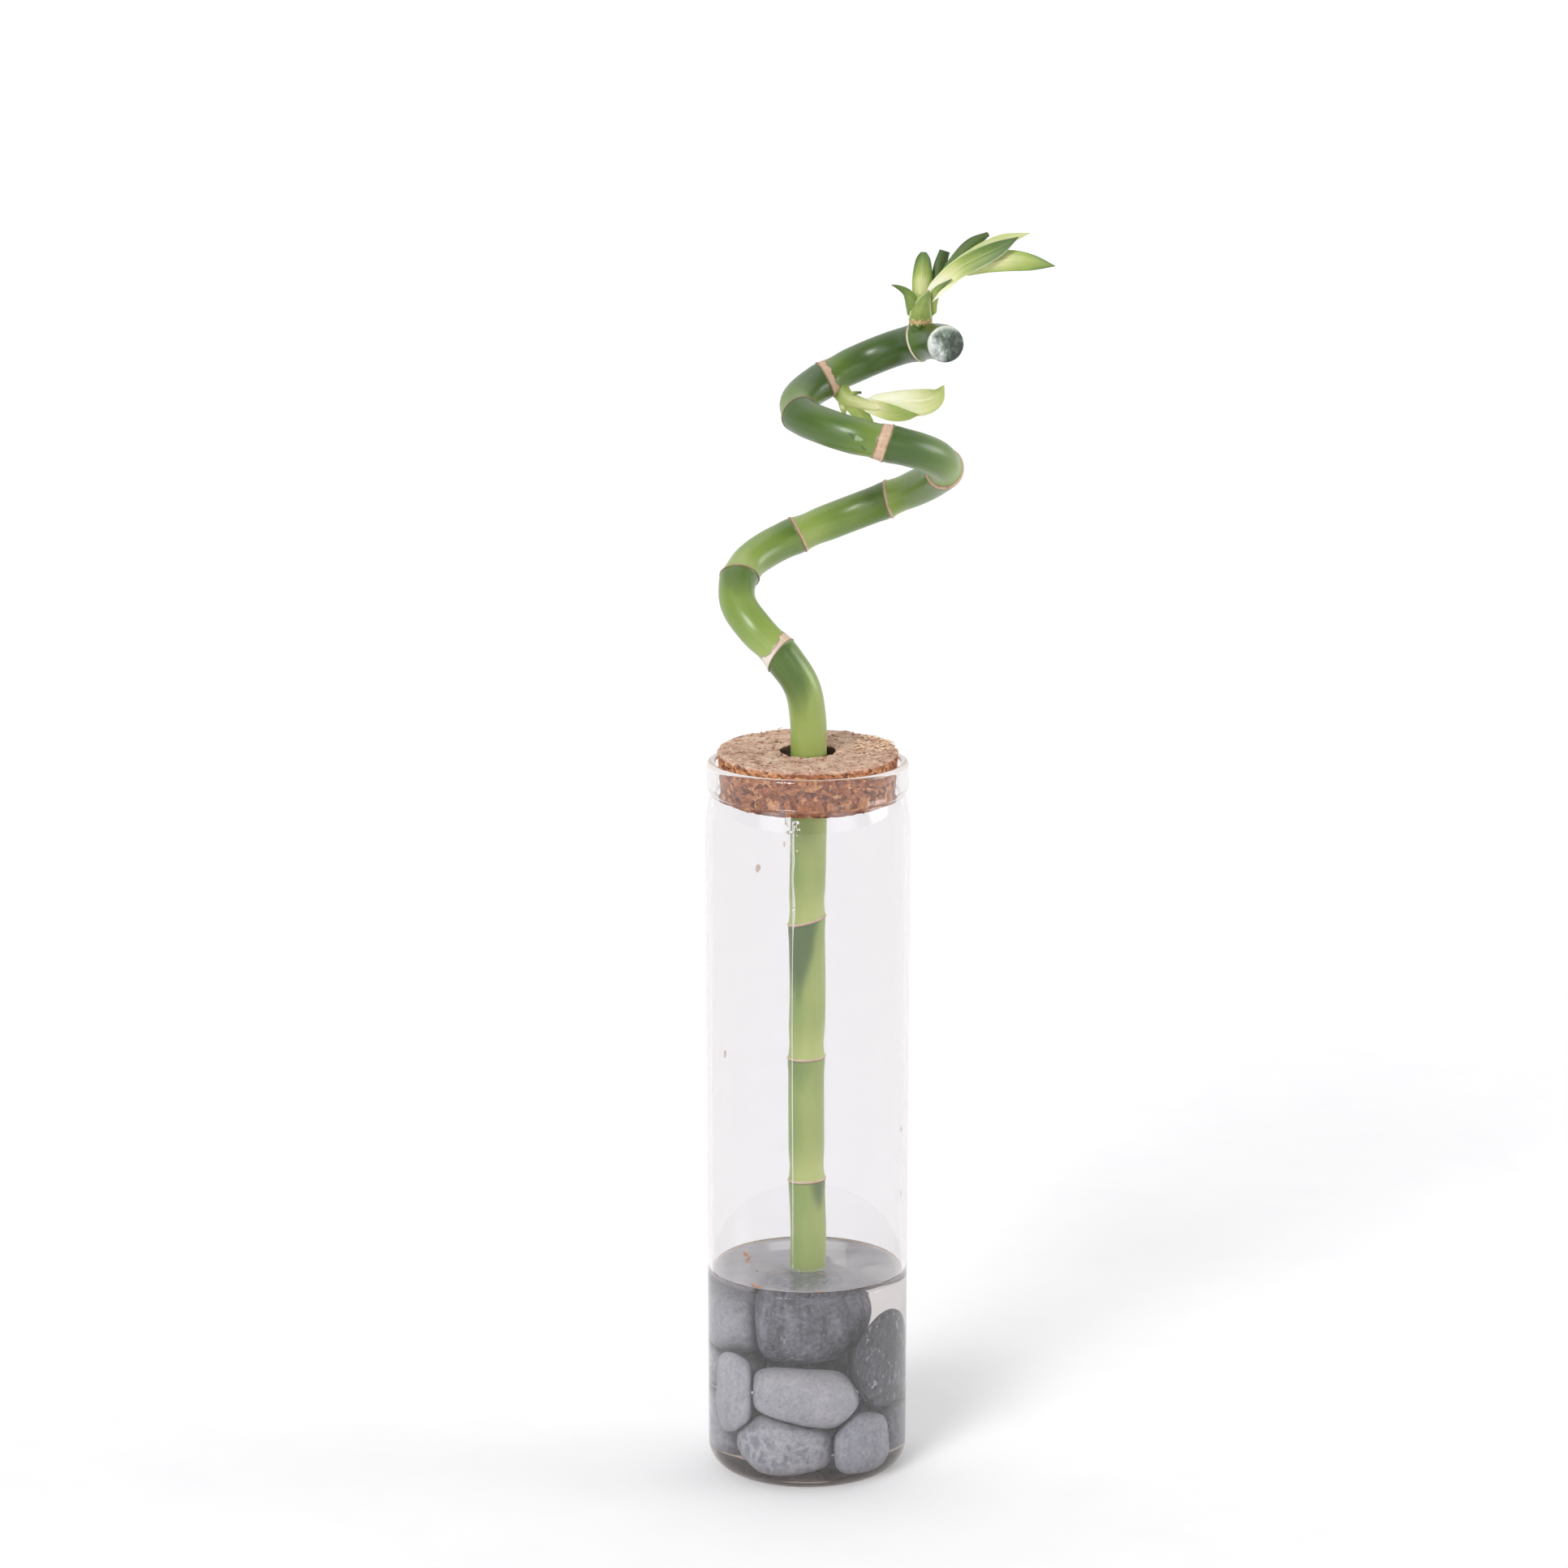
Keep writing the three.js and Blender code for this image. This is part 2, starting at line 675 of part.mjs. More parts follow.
const glass = new THREE.MeshStandardMaterial({ color: 0xe8f0f2, roughness: 0.03, metalness: 0 });
glass.transparent = true;
glass.opacity = 0.3;
const clearWater = new THREE.MeshStandardMaterial({ color: 0xdfe8e6, roughness: 0, metalness: 0 });
clearWater.transparent = true;
clearWater.opacity = 0.3;
const bakedCork = new THREE.MeshStandardMaterial({ color: 0xb08a68, roughness: 0.9, metalness: 0 });
const caneGreen = new THREE.MeshStandardMaterial({ color: 0x5f8a35, roughness: 0.35, metalness: 0 });
const leafGreen = new THREE.MeshStandardMaterial({ color: 0xa3bd68, roughness: 0.45, metalness: 0 });
const riverStone = new THREE.MeshStandardMaterial({ color: 0x76808a, roughness: 0.6, metalness: 0 });

const part = new THREE.Group();

// Adds a piece to the part under its name.
function place(name, geometry, material) {
  const mesh = new THREE.Mesh(geometry, material);
  mesh.name = name;
  part.add(mesh);
  return mesh;
}

place("vase", vaseGeometry(), glass);
const stopper = place("cork", corkGeometry(), bakedCork);
stopper.rotation.x = corkTilt;
stopper.position.z = corkMiddleHeight;
place("cane", caneGeometry(0), caneGreen);
place("shoot_upper", shootGeometry(upperStalk, upperBlades), leafGreen);
place("shoot_lower", shootGeometry(lowerStalk, lowerBlades), leafGreen);
place("water", waterGeometry(), clearWater);
for (const stone of stones) {
  place(stone.name, stoneGeometry(stone, 0), riverStone);
}

export default part;
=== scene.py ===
import math

import bpy
import numpy as np
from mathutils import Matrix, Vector


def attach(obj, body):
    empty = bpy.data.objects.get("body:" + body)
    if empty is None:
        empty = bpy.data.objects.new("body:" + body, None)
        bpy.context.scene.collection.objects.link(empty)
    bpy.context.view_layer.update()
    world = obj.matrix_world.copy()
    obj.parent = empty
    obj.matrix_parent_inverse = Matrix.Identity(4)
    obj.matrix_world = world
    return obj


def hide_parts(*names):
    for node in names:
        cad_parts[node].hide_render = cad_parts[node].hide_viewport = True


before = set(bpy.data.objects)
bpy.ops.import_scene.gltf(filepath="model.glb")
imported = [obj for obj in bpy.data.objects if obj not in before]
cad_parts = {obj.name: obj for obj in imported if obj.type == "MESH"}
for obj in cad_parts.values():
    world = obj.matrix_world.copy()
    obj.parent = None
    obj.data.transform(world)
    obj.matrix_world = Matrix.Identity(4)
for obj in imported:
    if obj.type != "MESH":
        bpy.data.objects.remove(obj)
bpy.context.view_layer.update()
print("frame loaded:", len(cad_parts), "nodes")

mm = 0.001  # the shapes below are worked out in millimetres


# Meshes

# Puts points (n, 3) in millimetres and a list of face arrays, each (m, 3) or (m, 4), into a piece
# that rides on the root body. marks are values per point, which its material reads by name.
def makePiece(name, points, faces, material, slot, node=None, marks=None):
    mesh = bpy.data.meshes.new(name)
    corners = np.concatenate([face.ravel() for face in faces]).astype(np.int32)
    counts = np.concatenate([np.full(len(face), face.shape[1]) for face in faces]).astype(np.int32)
    starts = np.concatenate([[0], np.cumsum(counts)[:-1]]).astype(np.int32)
    mesh.vertices.add(len(points))
    mesh.vertices.foreach_set("co", (np.asarray(points) * mm).astype(np.float32).ravel())
    mesh.loops.add(len(corners))
    mesh.loops.foreach_set("vertex_index", corners)
    mesh.polygons.add(len(counts))
    mesh.polygons.foreach_set("loop_start", starts)
    mesh.polygons.foreach_set("loop_total", counts)
    mesh.polygons.foreach_set("use_smooth", np.ones(len(counts), bool))
    for key, values in (marks or {}).items():
        values = np.asarray(values, np.float32)
        kind, field = ("FLOAT_VECTOR", "vector") if values.ndim == 2 else ("FLOAT", "value")
        mesh.attributes.new(key, kind, "POINT").data.foreach_set(field, values.ravel())
    mesh.update(calc_edges=True)
    mesh.validate()
    mesh.materials.append(material)
    piece = bpy.data.objects.new(name, mesh)
    bpy.context.scene.collection.objects.link(piece)
    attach(piece, "root")
    if node:
        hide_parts(node)


# Faces of a grid of rows by columns, counted row by row. Each row closes on itself, and the
# columns may.
def gridFaces(rows, columns, closeRows=False):
    row = np.arange(rows if closeRows else rows - 1)[:, None]
    column = np.arange(columns)[None, :]
    nextRow = (row + 1) % rows
    nextColumn = (column + 1) % columns
    quads = [row * columns + column, row * columns + nextColumn,
             nextRow * columns + nextColumn, nextRow * columns + column]
    return np.stack(np.broadcast_arrays(*quads), -1).reshape(-1, 4)


# A fan of triangles from one point to a ring of points.
def fanFaces(middle, firstOfRing, columns, outward):
    here = np.arange(columns)
    there = (here + 1) % columns
    ends = [there, here] if outward else [here, there]
    return np.stack([np.full(columns, middle), ends[0] + firstOfRing, ends[1] + firstOfRing], -1)


# Rings of points (rows, columns, 3) as one closed skin, with a pole at each end.
def closedSkin(rings, firstPole, lastPole):
    rows, columns, _ = rings.shape
    count = rows * columns
    points = np.vstack([rings.reshape(-1, 3), firstPole, lastPole])
    faces = [gridFaces(rows, columns), fanFaces(count, 0, columns, True),
             fanFaces(count + 1, count - columns, columns, False)]
    return points, faces


# Joins several surfaces, each of points and faces, into one.
def gathered(surfaces):
    starts = np.cumsum([0] + [len(points) for points, _ in surfaces])
    faces = [face + start for (_, part), start in zip(surfaces, starts) for face in part]
    return np.vstack([points for points, _ in surfaces]), faces


# Even angles round a full circle.
def fullTurn(columns):
    return np.linspace(0, 2 * np.pi, columns, endpoint=False)


# Stacks values that stretch to one another's shape into vectors.
def vectors(*parts):
    return np.stack(np.broadcast_arrays(*parts), -1)


# Vectors scaled to length 1.
def unit(arrows):
    return arrows / np.linalg.norm(arrows, axis=-1, keepdims=True)


# A surface of revolution about Z: each (radius, height) of the profile is turned through a full
# circle. The profile starts and ends on the axis, where the poles are.
def turnedShape(profile, columns):
    angle = fullTurn(columns)
    radius, height = profile[1:-1, :1], profile[1:-1, 1:]
    rings = vectors(radius * np.cos(angle), radius * np.sin(angle), height)
    return closedSkin(rings, (0, 0, profile[0, 1]), (0, 0, profile[-1, 1]))


# A ball of unit vectors in rows from the lower pole to the upper one, and its faces.
def unitBall(rows, columns):
    lift = np.linspace(-np.pi / 2, np.pi / 2, rows + 2)[1:-1, None]
    angle = fullTurn(columns)
    rings = vectors(np.cos(lift) * np.cos(angle), np.cos(lift) * np.sin(angle), np.sin(lift))
    return closedSkin(rings, (0, 0, -1), (0, 0, 1))


# large odd numbers that scramble a lattice place and a seed
scramble = {"x": 73856093, "y": 19349663, "z": 83492791, "seed": 2654435761, "again": 1274126177}


# Smooth random values from 0 to 1: a lattice of hashed numbers, eased and blended between its
# eight nearest corners.
def softNoise(points, size, seed):
    cell = np.asarray(points) / size
    base = np.floor(cell).astype(np.int64)
    part = cell - base
    part = part * part * (3 - 2 * part)
    total = np.zeros(len(cell))
    for corner in range(8):
        step = np.array([corner & 1, (corner >> 1) & 1, corner >> 2])
        x, y, z = (base + step).T
        mixed = x * scramble["x"] ^ y * scramble["y"] ^ z * scramble["z"] ^ seed * scramble["seed"]
        mixed = (mixed ^ (mixed >> 13)) * scramble["again"] & 0xFFFFFFFF
        value = ((mixed ^ (mixed >> 16)) & 0xFFFF) / 0xFFFF
        weight = np.prod(np.where(step == 1, part, 1 - part), axis=1)
        total += value * weight
    return total


# Rises smoothly from 0 at low to 1 at high. low may lie above high.
def easedStep(values, low, high):
    share = np.clip((np.asarray(values, float) - low) / (high - low), 0, 1)
    return share * share * (3 - 2 * share)


# A bell curve: its height, middle and width.
def bell(values, height, middle, width):
    return height * np.exp(-((values - middle) / width) ** 2)


# Curve through stations: a Catmull-Rom spline with steps spaced by the root of each distance,
# which takes no loops in tight places. Returns steps points for each stretch between stations.
def smoothCurve(stations, steps):
    inner = np.asarray(stations, float)
    points = np.vstack([2 * inner[0] - inner[1], inner, 2 * inner[-1] - inner[-2]])
    p0, p1, p2, p3 = points[:-3], points[1:-2], points[2:-1], points[3:]
    d0, d1, d2 = [np.linalg.norm((b - a)[:, :3], axis=1)[:, None] ** 0.5
                  for a, b in ((p0, p1), (p1, p2), (p2, p3))]
    start = ((p1 - p0) / d0 - (p2 - p0) / (d0 + d1) + (p2 - p1) / d1) * d1
    finish = ((p2 - p1) / d1 - (p3 - p1) / (d1 + d2) + (p3 - p2) / d2) * d1
    t = np.linspace(0, 1, steps, endpoint=False)[None, :, None]
    p1, p2, start, finish = [part[:, None, :] for part in (p1, p2, start, finish)]
    curve = (p1 + start * t + (3 * (p2 - p1) - 2 * start - finish) * t**2
             + (2 * (p1 - p2) + start + finish) * t**3)
    return np.vstack([curve.reshape(-1, points.shape[1]), points[-2]])


# Distance travelled along a polyline at each of its points.
def travelled(points):
    return np.concatenate([[0], np.cumsum(np.linalg.norm(np.diff(points, axis=0), axis=1))])


# Vectors that are known at some places along a line, read at others.
def readAt(places, knownPlaces, known):
    return np.stack([np.interp(places, knownPlaces, column) for column in known.T], -1)


# Unit vectors along, and two square to, a polyline. The side vectors turn with the line and
# don't twist about it: each is the one before, with its part along the new heading taken out.
def headings(points, firstSide):
    along = unit(np.gradient(points, axis=0))
    sides = np.empty_like(along)
    side = np.asarray(firstSide, float)
    for index, heading in enumerate(along):
        side = unit(side - heading * side.dot(heading))
        sides[index] = side
    return along, sides, np.cross(along, sides)


# Round sections along a polyline: its heading, the two vectors square to it, and for each angle
# the unit vector that reaches out from it, side * cos + across * sin.
def roundSections(centres, firstSide, angle):
    along, side, across = headings(centres, firstSide)
    reach = side[:, None] * np.cos(angle)[:, None] + across[:, None] * np.sin(angle)[:, None]
    return along, side, across, reach


# Materials

# A socket of a shader, on which Python's own operators add Math nodes.
class Wire:
    def __init__(self, recipe, socket):
        self.recipe = recipe
        self.socket = socket

    def math(self, operation, other=0.0, swapped=False):
        first, second = (other, self) if swapped else (self, other)
        return self.recipe.add("Math", {"operation": operation}, {0: first, 1: second})

    def __add__(self, other):
        return self.math("ADD", other)

    def __sub__(self, other):
        return self.math("SUBTRACT", other)

    def __rsub__(self, other):
        return self.math("SUBTRACT", other, True)

    def __mul__(self, other):
        return self.math("MULTIPLY", other)

    __radd__ = __add__
    __rmul__ = __mul__

    def least(self, other):
        return self.math("MINIMUM", other)

    def most(self, other):
        return self.math("MAXIMUM", other)

    def above(self, other):
        return self.math("GREATER_THAN", other)

    def size(self):
        return self.math("ABSOLUTE")

    # Eased step from 0 at low to 1 at high. low may lie above high.
    def step(self, low, high):
        settings = {"interpolation_type": "SMOOTHSTEP"}
        sockets = {"Value": self, "From Min": low, "From Max": high}
        return self.recipe.add("MapRange", settings, sockets)


# A material, or the world, under construction.
class Recipe:
    def __init__(self, name, forWorld=False):
        self.kind = "World" if forWorld else "Material"
        self.owner = (bpy.data.worlds if forWorld else bpy.data.materials).new(name)
        self.owner.use_nodes = True
        self.tree = self.owner.node_tree
        self.tree.nodes.clear()

    # Adds a node: its type, its settings, which are set first, and its sockets' values or links.
    def add(self, kind, settings=None, sockets=None, out=0):
        node = self.tree.nodes.new("ShaderNode" + kind)
        for key, value in (settings or {}).items():
            if key == "stops":
                self.setStops(node.color_ramp, value)
            else:
                setattr(node, key, value)
        for key, value in (sockets or {}).items():
            if isinstance(value, Wire):
                self.tree.links.new(value.socket, node.inputs[key])
            else:
                node.inputs[key].default_value = value
        return Wire(self, node.outputs[out])

    def setStops(self, ramp, stops):
        while len(ramp.elements) < len(stops):
            ramp.elements.new(1.0)
        for element, (place, colour) in zip(ramp.elements, stops):
            element.position = place
            element.color = colour

    def mark(self, name):
        return self.add("Attribute", {"attribute_name": name}, out=2)

    def markVector(self, name):
        return self.add("Attribute", {"attribute_name": name}, out=1)

    def place(self):
        return self.add("TexCoord", out=3)

    def axis(self, vector, number):
        return self.add("SeparateXYZ", None, {0: vector}, out=number)

    def vectorMath(self, operation, sockets, out=0):
        return self.add("VectorMath", {"operation": operation}, sockets, out)

    # Distance from a vector to a fixed spot.
    def apart(self, vector, spot):
        return self.vectorMath("DISTANCE", {0: vector, 1: spot}, out=1)

    # Distance from a vector to a short straight line: the vector's share along the line, held
    # from 0 to 1, gives the nearest spot on it.
    def fromLine(self, vector, start, finish):
        line = Vector(finish) - Vector(start)
        offset = self.vectorMath("SUBTRACT", {0: vector, 1: start})
        pace = tuple(line / line.length_squared)
        held = self.vectorMath("DOT_PRODUCT", {0: offset, 1: pace}, out=1).most(0.0).least(1.0)
        return self.apart(offset, self.vectorMath("SCALE", {0: tuple(line), "Scale": held}))

    # A vector pushed about by a noise with three parts, by up to amount in each direction.
    def pushed(self, vector, scale, amount, detail=2.0):
        sockets = {"Vector": vector, "Scale": scale, "Detail": detail}
        noise = self.add("TexNoise", None, sockets, out=1)
        return self.vectorMath("MULTIPLY_ADD", {0: noise, 1: amount, 2: vector})

    def stretched(self, vector, scale):
        return self.add("Mapping", None, {"Vector": vector, "Scale": scale})

    def noise(self, vector, scale, detail=3.0, rough=0.5):
        sockets = {"Vector": vector, "Scale": scale, "Detail": detail, "Roughness": rough}
        return self.add("TexNoise", None, sockets)

    # The noises of a table, in its order. Each is (stretch, scale, detail, roughness).
    def noises(self, vector, table):
        return [self.noise(self.stretched(vector, stretch) if stretch else vector, *rest)
                for stretch, *rest in table.values()]

    def cells(self, vector, scale, feature="F1", out=0):
        return self.add("TexVoronoi", {"feature": feature}, {"Vector": vector, "Scale": scale}, out)

    def blend(self, share, first, second):
        settings = {"data_type": "RGBA", "clamp_factor": True}
        return self.add("Mix", settings, {0: share, 6: first, 7: second}, out=2)

    def ramp(self, value, stops):
        return self.add("ValToRGB", {"stops": stops}, {"Fac": value})

    def bump(self, height, distance, strength=1.0):
        return self.add("Bump", None, {"Height": height, "Distance": distance, "Strength": strength})

    def mixed(self, share, first, second):
        return self.add("MixShader", None, {0: share, 1: first, 2: second})

    def surface(self, sockets):
        return self.add("BsdfPrincipled", None, sockets)

    # Closes a solid stuff: its colour, roughness and relief, the sockets that have one value all
    # over, which its looks give, and any more.
    def skin(self, looks, colour, roughness, height, more=None):
        normal = self.bump(height, *looks["relief"])
        sockets = {"Base Color": colour, "Roughness": roughness, "Normal": normal}
        return self.finish(self.surface({**sockets, **looks["even"], **(more or {})}))

    def finish(self, shader, volume=None):
        output = self.tree.nodes.new("ShaderNodeOutput" + self.kind)
        self.tree.links.new(shader.socket, output.inputs["Surface"])
        if volume:
            self.tree.links.new(volume.socket, output.inputs["Volume"])
        return self.owner


# A colour from its three parts as read off a screen, from 0 to 255.
def shade(red, green, blue):
    parts = np.array([red, green, blue]) / 255
    linear = np.where(parts <= 0.04045, parts / 12.92, ((parts + 0.055) / 1.055) ** 2.4)
    return (*linear.tolist(), 1.0)


# how many mirrorings, and how many steps in all, a ray makes before it goes straight on
rayLimits = {"mirrored": 2.5, "steps": 8.5}


# A clear body that bends light and dims it with the way through it. Lamps and soft light pass
# straight through, so that what stands behind it is lit. A ray that has been mirrored about in it
# several times goes straight on too, instead of ending in black.
def clearBody(recipe, looks, sockets):
    clear = recipe.surface({"Roughness": 0.0, "IOR": looks["ior"], "Transmission Weight": 1.0, **sockets})
    shadow = recipe.add("LightPath", out="Is Shadow Ray")
    diffuse = recipe.add("LightPath", out="Is Diffuse Ray")
    mirrored = recipe.add("LightPath", out="Glossy Depth").above(rayLimits["mirrored"])
    deep = recipe.add("LightPath", out="Ray Depth").above(rayLimits["steps"])
    straight = shadow.most(diffuse).most(mirrored.most(deep))
    through = recipe.add("BsdfTransparent", None, {"Color": looks["straightTint"]})
    dimming = recipe.add("VolumeAbsorption", None, {"Color": looks["absorbed"], "Density": looks["density"]})
    return recipe.mixed(straight, clear, through), dimming


glassLooks = {
    "tint": (0.934, 0.931, 0.943, 1.0),
    "footTint": (0.93, 0.85, 0.77, 1.0),
    "straightTint": (0.95, 0.95, 0.955, 1.0),
    "ior": 1.5,
    "absorbed": (0.7, 0.47, 0.28, 1.0),  # what a long way through the glass leaves
    "density": 20.0,
    "rippleStretch": (1, 1, 0.12), "rippleScale": 40.0, "rippleDepth": 0.00005, "rippleStrength": 0.5,
}


# Clear glass: browns a little where the way through it is long and in the thick foot, which the
# foot mark tells, and has faint upright ripples.
def glassMaterial():
    looks = glassLooks
    recipe = Recipe("clearGlass")
    ripple = recipe.noise(recipe.stretched(recipe.place(), looks["rippleStretch"]), looks["rippleScale"], 1.0)
    return recipe.finish(*clearBody(recipe, looks, {
        "Base Color": recipe.blend(recipe.mark("foot"), looks["tint"], looks["footTint"]),
        "Normal": recipe.bump(ripple, looks["rippleDepth"], looks["rippleStrength"]),
    }))


waterLooks = {
    "tint": (0.985, 0.98, 0.98, 1.0),
    "straightTint": (0.97, 0.97, 0.965, 1.0),
    "ior": 1.333,
    "absorbed": (0.56, 0.48, 0.38, 1.0),
    "density": 9.0,
    "milky": (0.57, 0.56, 0.585, 1.0),
    "filmStretch": (0.5, 1.6, 1), "filmScale": 90.0, "filmLeast": 0.3, "filmVaried": 0.3,
}


# Still water: bends light less than glass does. Its top carries a thin milky film, uneven and
# drawn out sideways, where the film mark says so.
def waterMaterial():
    looks = waterLooks
    recipe = Recipe("clearWater")
    clear, dimming = clearBody(recipe, looks, {"Base Color": looks["tint"]})
    drawn = recipe.noise(recipe.stretched(recipe.place(), looks["filmStretch"]), looks["filmScale"], 4.0, 0.6)
    film = recipe.mark("film") * (looks["filmLeast"] + drawn * looks["filmVaried"])
    milky = recipe.add("BsdfDiffuse", None, {"Color": looks["milky"]})
    return recipe.finish(recipe.mixed(film, clear, milky), dimming)


corkLooks = {
    "top": [(0.36, shade(146, 98, 76)), (0.45, shade(206, 164, 142)),
            (0.56, shade(230, 196, 172)), (0.66, shade(246, 226, 202))],
    # side: the outer wall's browns, redder than the top's and darker as painted shade
    "side": [(0.32, shade(100, 48, 28)), (0.44, shade(146, 80, 46)),
             (0.56, shade(184, 114, 70)), (0.68, shade(222, 162, 110))],
    "bark": shade(96, 50, 34), "pale": shade(242, 212, 180),
    # edge is painted shade along the lower edge, and hole is painted shade on the hole's wall
    "edge": shade(104, 58, 40), "hole": shade(50, 30, 20),
    "plainNoises": {"drift": (None, 240.0, 4.0, 0.6), "pale": ((1.3, 1, 2.0), 520.0, 4.0, 0.75)},
    "warp": (500.0, (0.0022, 0.0022, 0.0016), 3.0),
    "warpedNoises": {"fine": ((1, 1, 1.4), 1100.0, 4.0, 0.75), "streaks": ((1, 1, 1.8), 480.0, 5.0, 0.75)},
    "granuleScale": 520.0, "fleckScale": 300.0,
    "streakEdge": (0.59, 0.66), "fleckEdge": (0.2, 0.1), "paleEdge": (0.58, 0.68),
    "roughness": 0.88, "relief": (0.0008, 0.9), "even": {"Specular IOR Level": 0.25},
}


# Pressed cork: granules of several browns, redder and darker down the side, the darkness being
# painted shade, with dark bark streaks lying flat, dark flecks, pale crumbs and fine pits. side is
# 1 on the outer wall; a mark along its lower edge paints shade there, and inner marks the hole,
# whose wall is painted near black as shade.
def corkMaterial():
    looks = corkLooks
    recipe = Recipe("pressedCork")
    place = recipe.place()
    drift, pale = recipe.noises(place, looks["plainNoises"])
    warped = recipe.pushed(place, *looks["warp"])
    fine, streaks = recipe.noises(warped, looks["warpedNoises"])
    granules = recipe.cells(recipe.stretched(warped, (1, 1, 1.4)), looks["granuleScale"], out=1)
    granule = recipe.axis(granules, 0)
    top = recipe.ramp(granule * 0.1 + drift * 0.4 + fine * 0.5, looks["top"])
    wall = recipe.ramp(granule * 0.35 + fine * 0.65, looks["side"])
    bark = streaks.step(*looks["streakEdge"])
    spots = recipe.cells(recipe.stretched(warped, (1, 1, 1.6)), looks["fleckScale"])
    flecks = spots.step(*looks["fleckEdge"])
    pale = pale.step(*looks["paleEdge"])
    side = recipe.mark("side")
    # the outer wall is redder, and darker as painted shade
    reddenedAndShaded = recipe.blend(side * 0.9, top, wall)
    browned = recipe.blend(bark.most(flecks) * (0.7 + side * 0.15), reddenedAndShaded, looks["bark"])
    lit = recipe.blend(pale * (0.55 - side * 0.2), browned, looks["pale"])
    # painted shade along the lower edge and, near black, on the hole's wall
    edged = recipe.blend(recipe.mark("edgeDark") * 0.6, lit, looks["edge"])
    colour = recipe.blend(recipe.mark("inner") * 0.9, edged, looks["hole"])
    height = fine * 0.7 + drift * 0.2 - bark * 0.8 - flecks * 0.6 + pale * 0.4
    return recipe.skin(looks, colour, looks["roughness"] - fine * 0.1, height)


caneLooks = {
    "green": [(0.0, shade(174, 184, 104)), (0.33, shade(127, 150, 66)),
              (0.66, shade(77, 106, 32)), (1.0, shade(34, 58, 14))],
    "patch": shade(52, 82, 20),
    "brown": shade(108, 76, 54),  # specks and the edges of the dry collars
    "collar": [(0.26, shade(108, 76, 54)), (0.42, shade(194, 160, 132)), (0.74, shade(218, 198, 172))],
    "collarWhite": shade(226, 220, 208),
    "noises": {
        "streaks": ((1, 1, 0.05), 0.9, 4.0, 0.6), "clouds": ((1, 1, 0.35), 0.13, 3.0, 0.5),
        "smudges": ((1, 1, 0.3), 0.25, 3.0, 0.5), "patches": (None, 0.09, 1.0, 0.5),
        "ragged": ((1, 1, 0.12), 0.4, 4.0, 0.65), "layers": ((0.12, 0.12, 1), 1.6, 2.0, 0.5),
        "fibres": ((1, 1, 0.16), 1.1, 3.0, 0.5),
    },
    # a small wet-looking scar on the front of the spiral: two strokes and a pale spot, a painted highlight
    # where it looks wet
    "strokes": [((0.0122, -0.0176, 0.3261), (0.0139, -0.0176, 0.3242)),
                ((0.0137, -0.0176, 0.3242), (0.0172, -0.0176, 0.3208))],
    "strokeEdges": [(0.55, 0.25), (0.45, 0.15)],
    "glintSpot": (0.0147, -0.0178, 0.3246), "glintEdge": (1.3, 0.7),
    # the scar's colour, and the pale painted highlight on it
    "scar": shade(40, 72, 28), "glint": shade(196, 212, 176),
    "roughness": 0.42, "coat": 0.5, "relief": (0.00012, 0.8),
    "even": {"Specular IOR Level": 0.4, "Coat Roughness": 0.24, "Subsurface Weight": 0.06,
             "Subsurface Radius": (0.4, 0.7, 0.2), "Subsurface Scale": 0.002},
}
endLooks = {
    # the wax's greys; the palest stops, which its upper left reaches, are painted highlight
    "waxAndHighlight": [(0.12, shade(40, 52, 40)), (0.36, shade(88, 104, 88)),
              (0.6, shade(158, 166, 158)), (0.9, shade(232, 232, 236))],
    # the pale rim's colour, a painted highlight on the upper left
    "rim": shade(214, 220, 206),
    "clumps": (0.28, 5.0, 0.6), "rays": (3.2, 4.0, 0.6),
}


# The scar, from Object coordinates: how far each spot is torn and how far it carries the pale painted
# highlight.
def scarMasks(recipe):
    place = recipe.place()
    wobble = recipe.noise(place, 900.0, 3.0) - 0.5
    torn = [(recipe.fromLine(place, *ends) * (1 / mm) + wobble * 1.2).step(*edge)
            for ends, edge in zip(caneLooks["strokes"], caneLooks["strokeEdges"])]
    glint = recipe.apart(place, caneLooks["glintSpot"]) * (1 / mm) + wobble * 2.2
    return torn[0].most(torn[1]), glint.step(*caneLooks["glintEdge"])


# The sealed cut end, from its own coordinates: grey-green clumps and rays that run out from its
# middle, lighter to the upper left and darker to the right, with a pale rim on the upper left; the
# lightening and the rim are painted highlight of the light on the wax. Returns its colour and its height.
def cutEnd(recipe):
    space = recipe.markVector("endSpace")
    clumps = recipe.noise(recipe.stretched(space, (1, 1, 0.6)), *endLooks["clumps"])
    rays = recipe.noise(recipe.vectorMath("NORMALIZE", {0: space}), *endLooks["rays"])
    across = recipe.axis(space, 0)
    upright = recipe.axis(space, 2)
    # the lightening to the left and up is painted highlight of the light on the wax
    paleness = (clumps - 0.5) * 1.5 + (rays - 0.5) * 0.8 - across * 0.07 + upright * 0.02 + 0.38
    waxAndHighlight = recipe.ramp(paleness, endLooks["waxAndHighlight"])
    colour = recipe.blend(recipe.mark("endRim") * 0.8, waxAndHighlight, endLooks["rim"])
    return colour, clumps * 4.0 + rays * 2.0


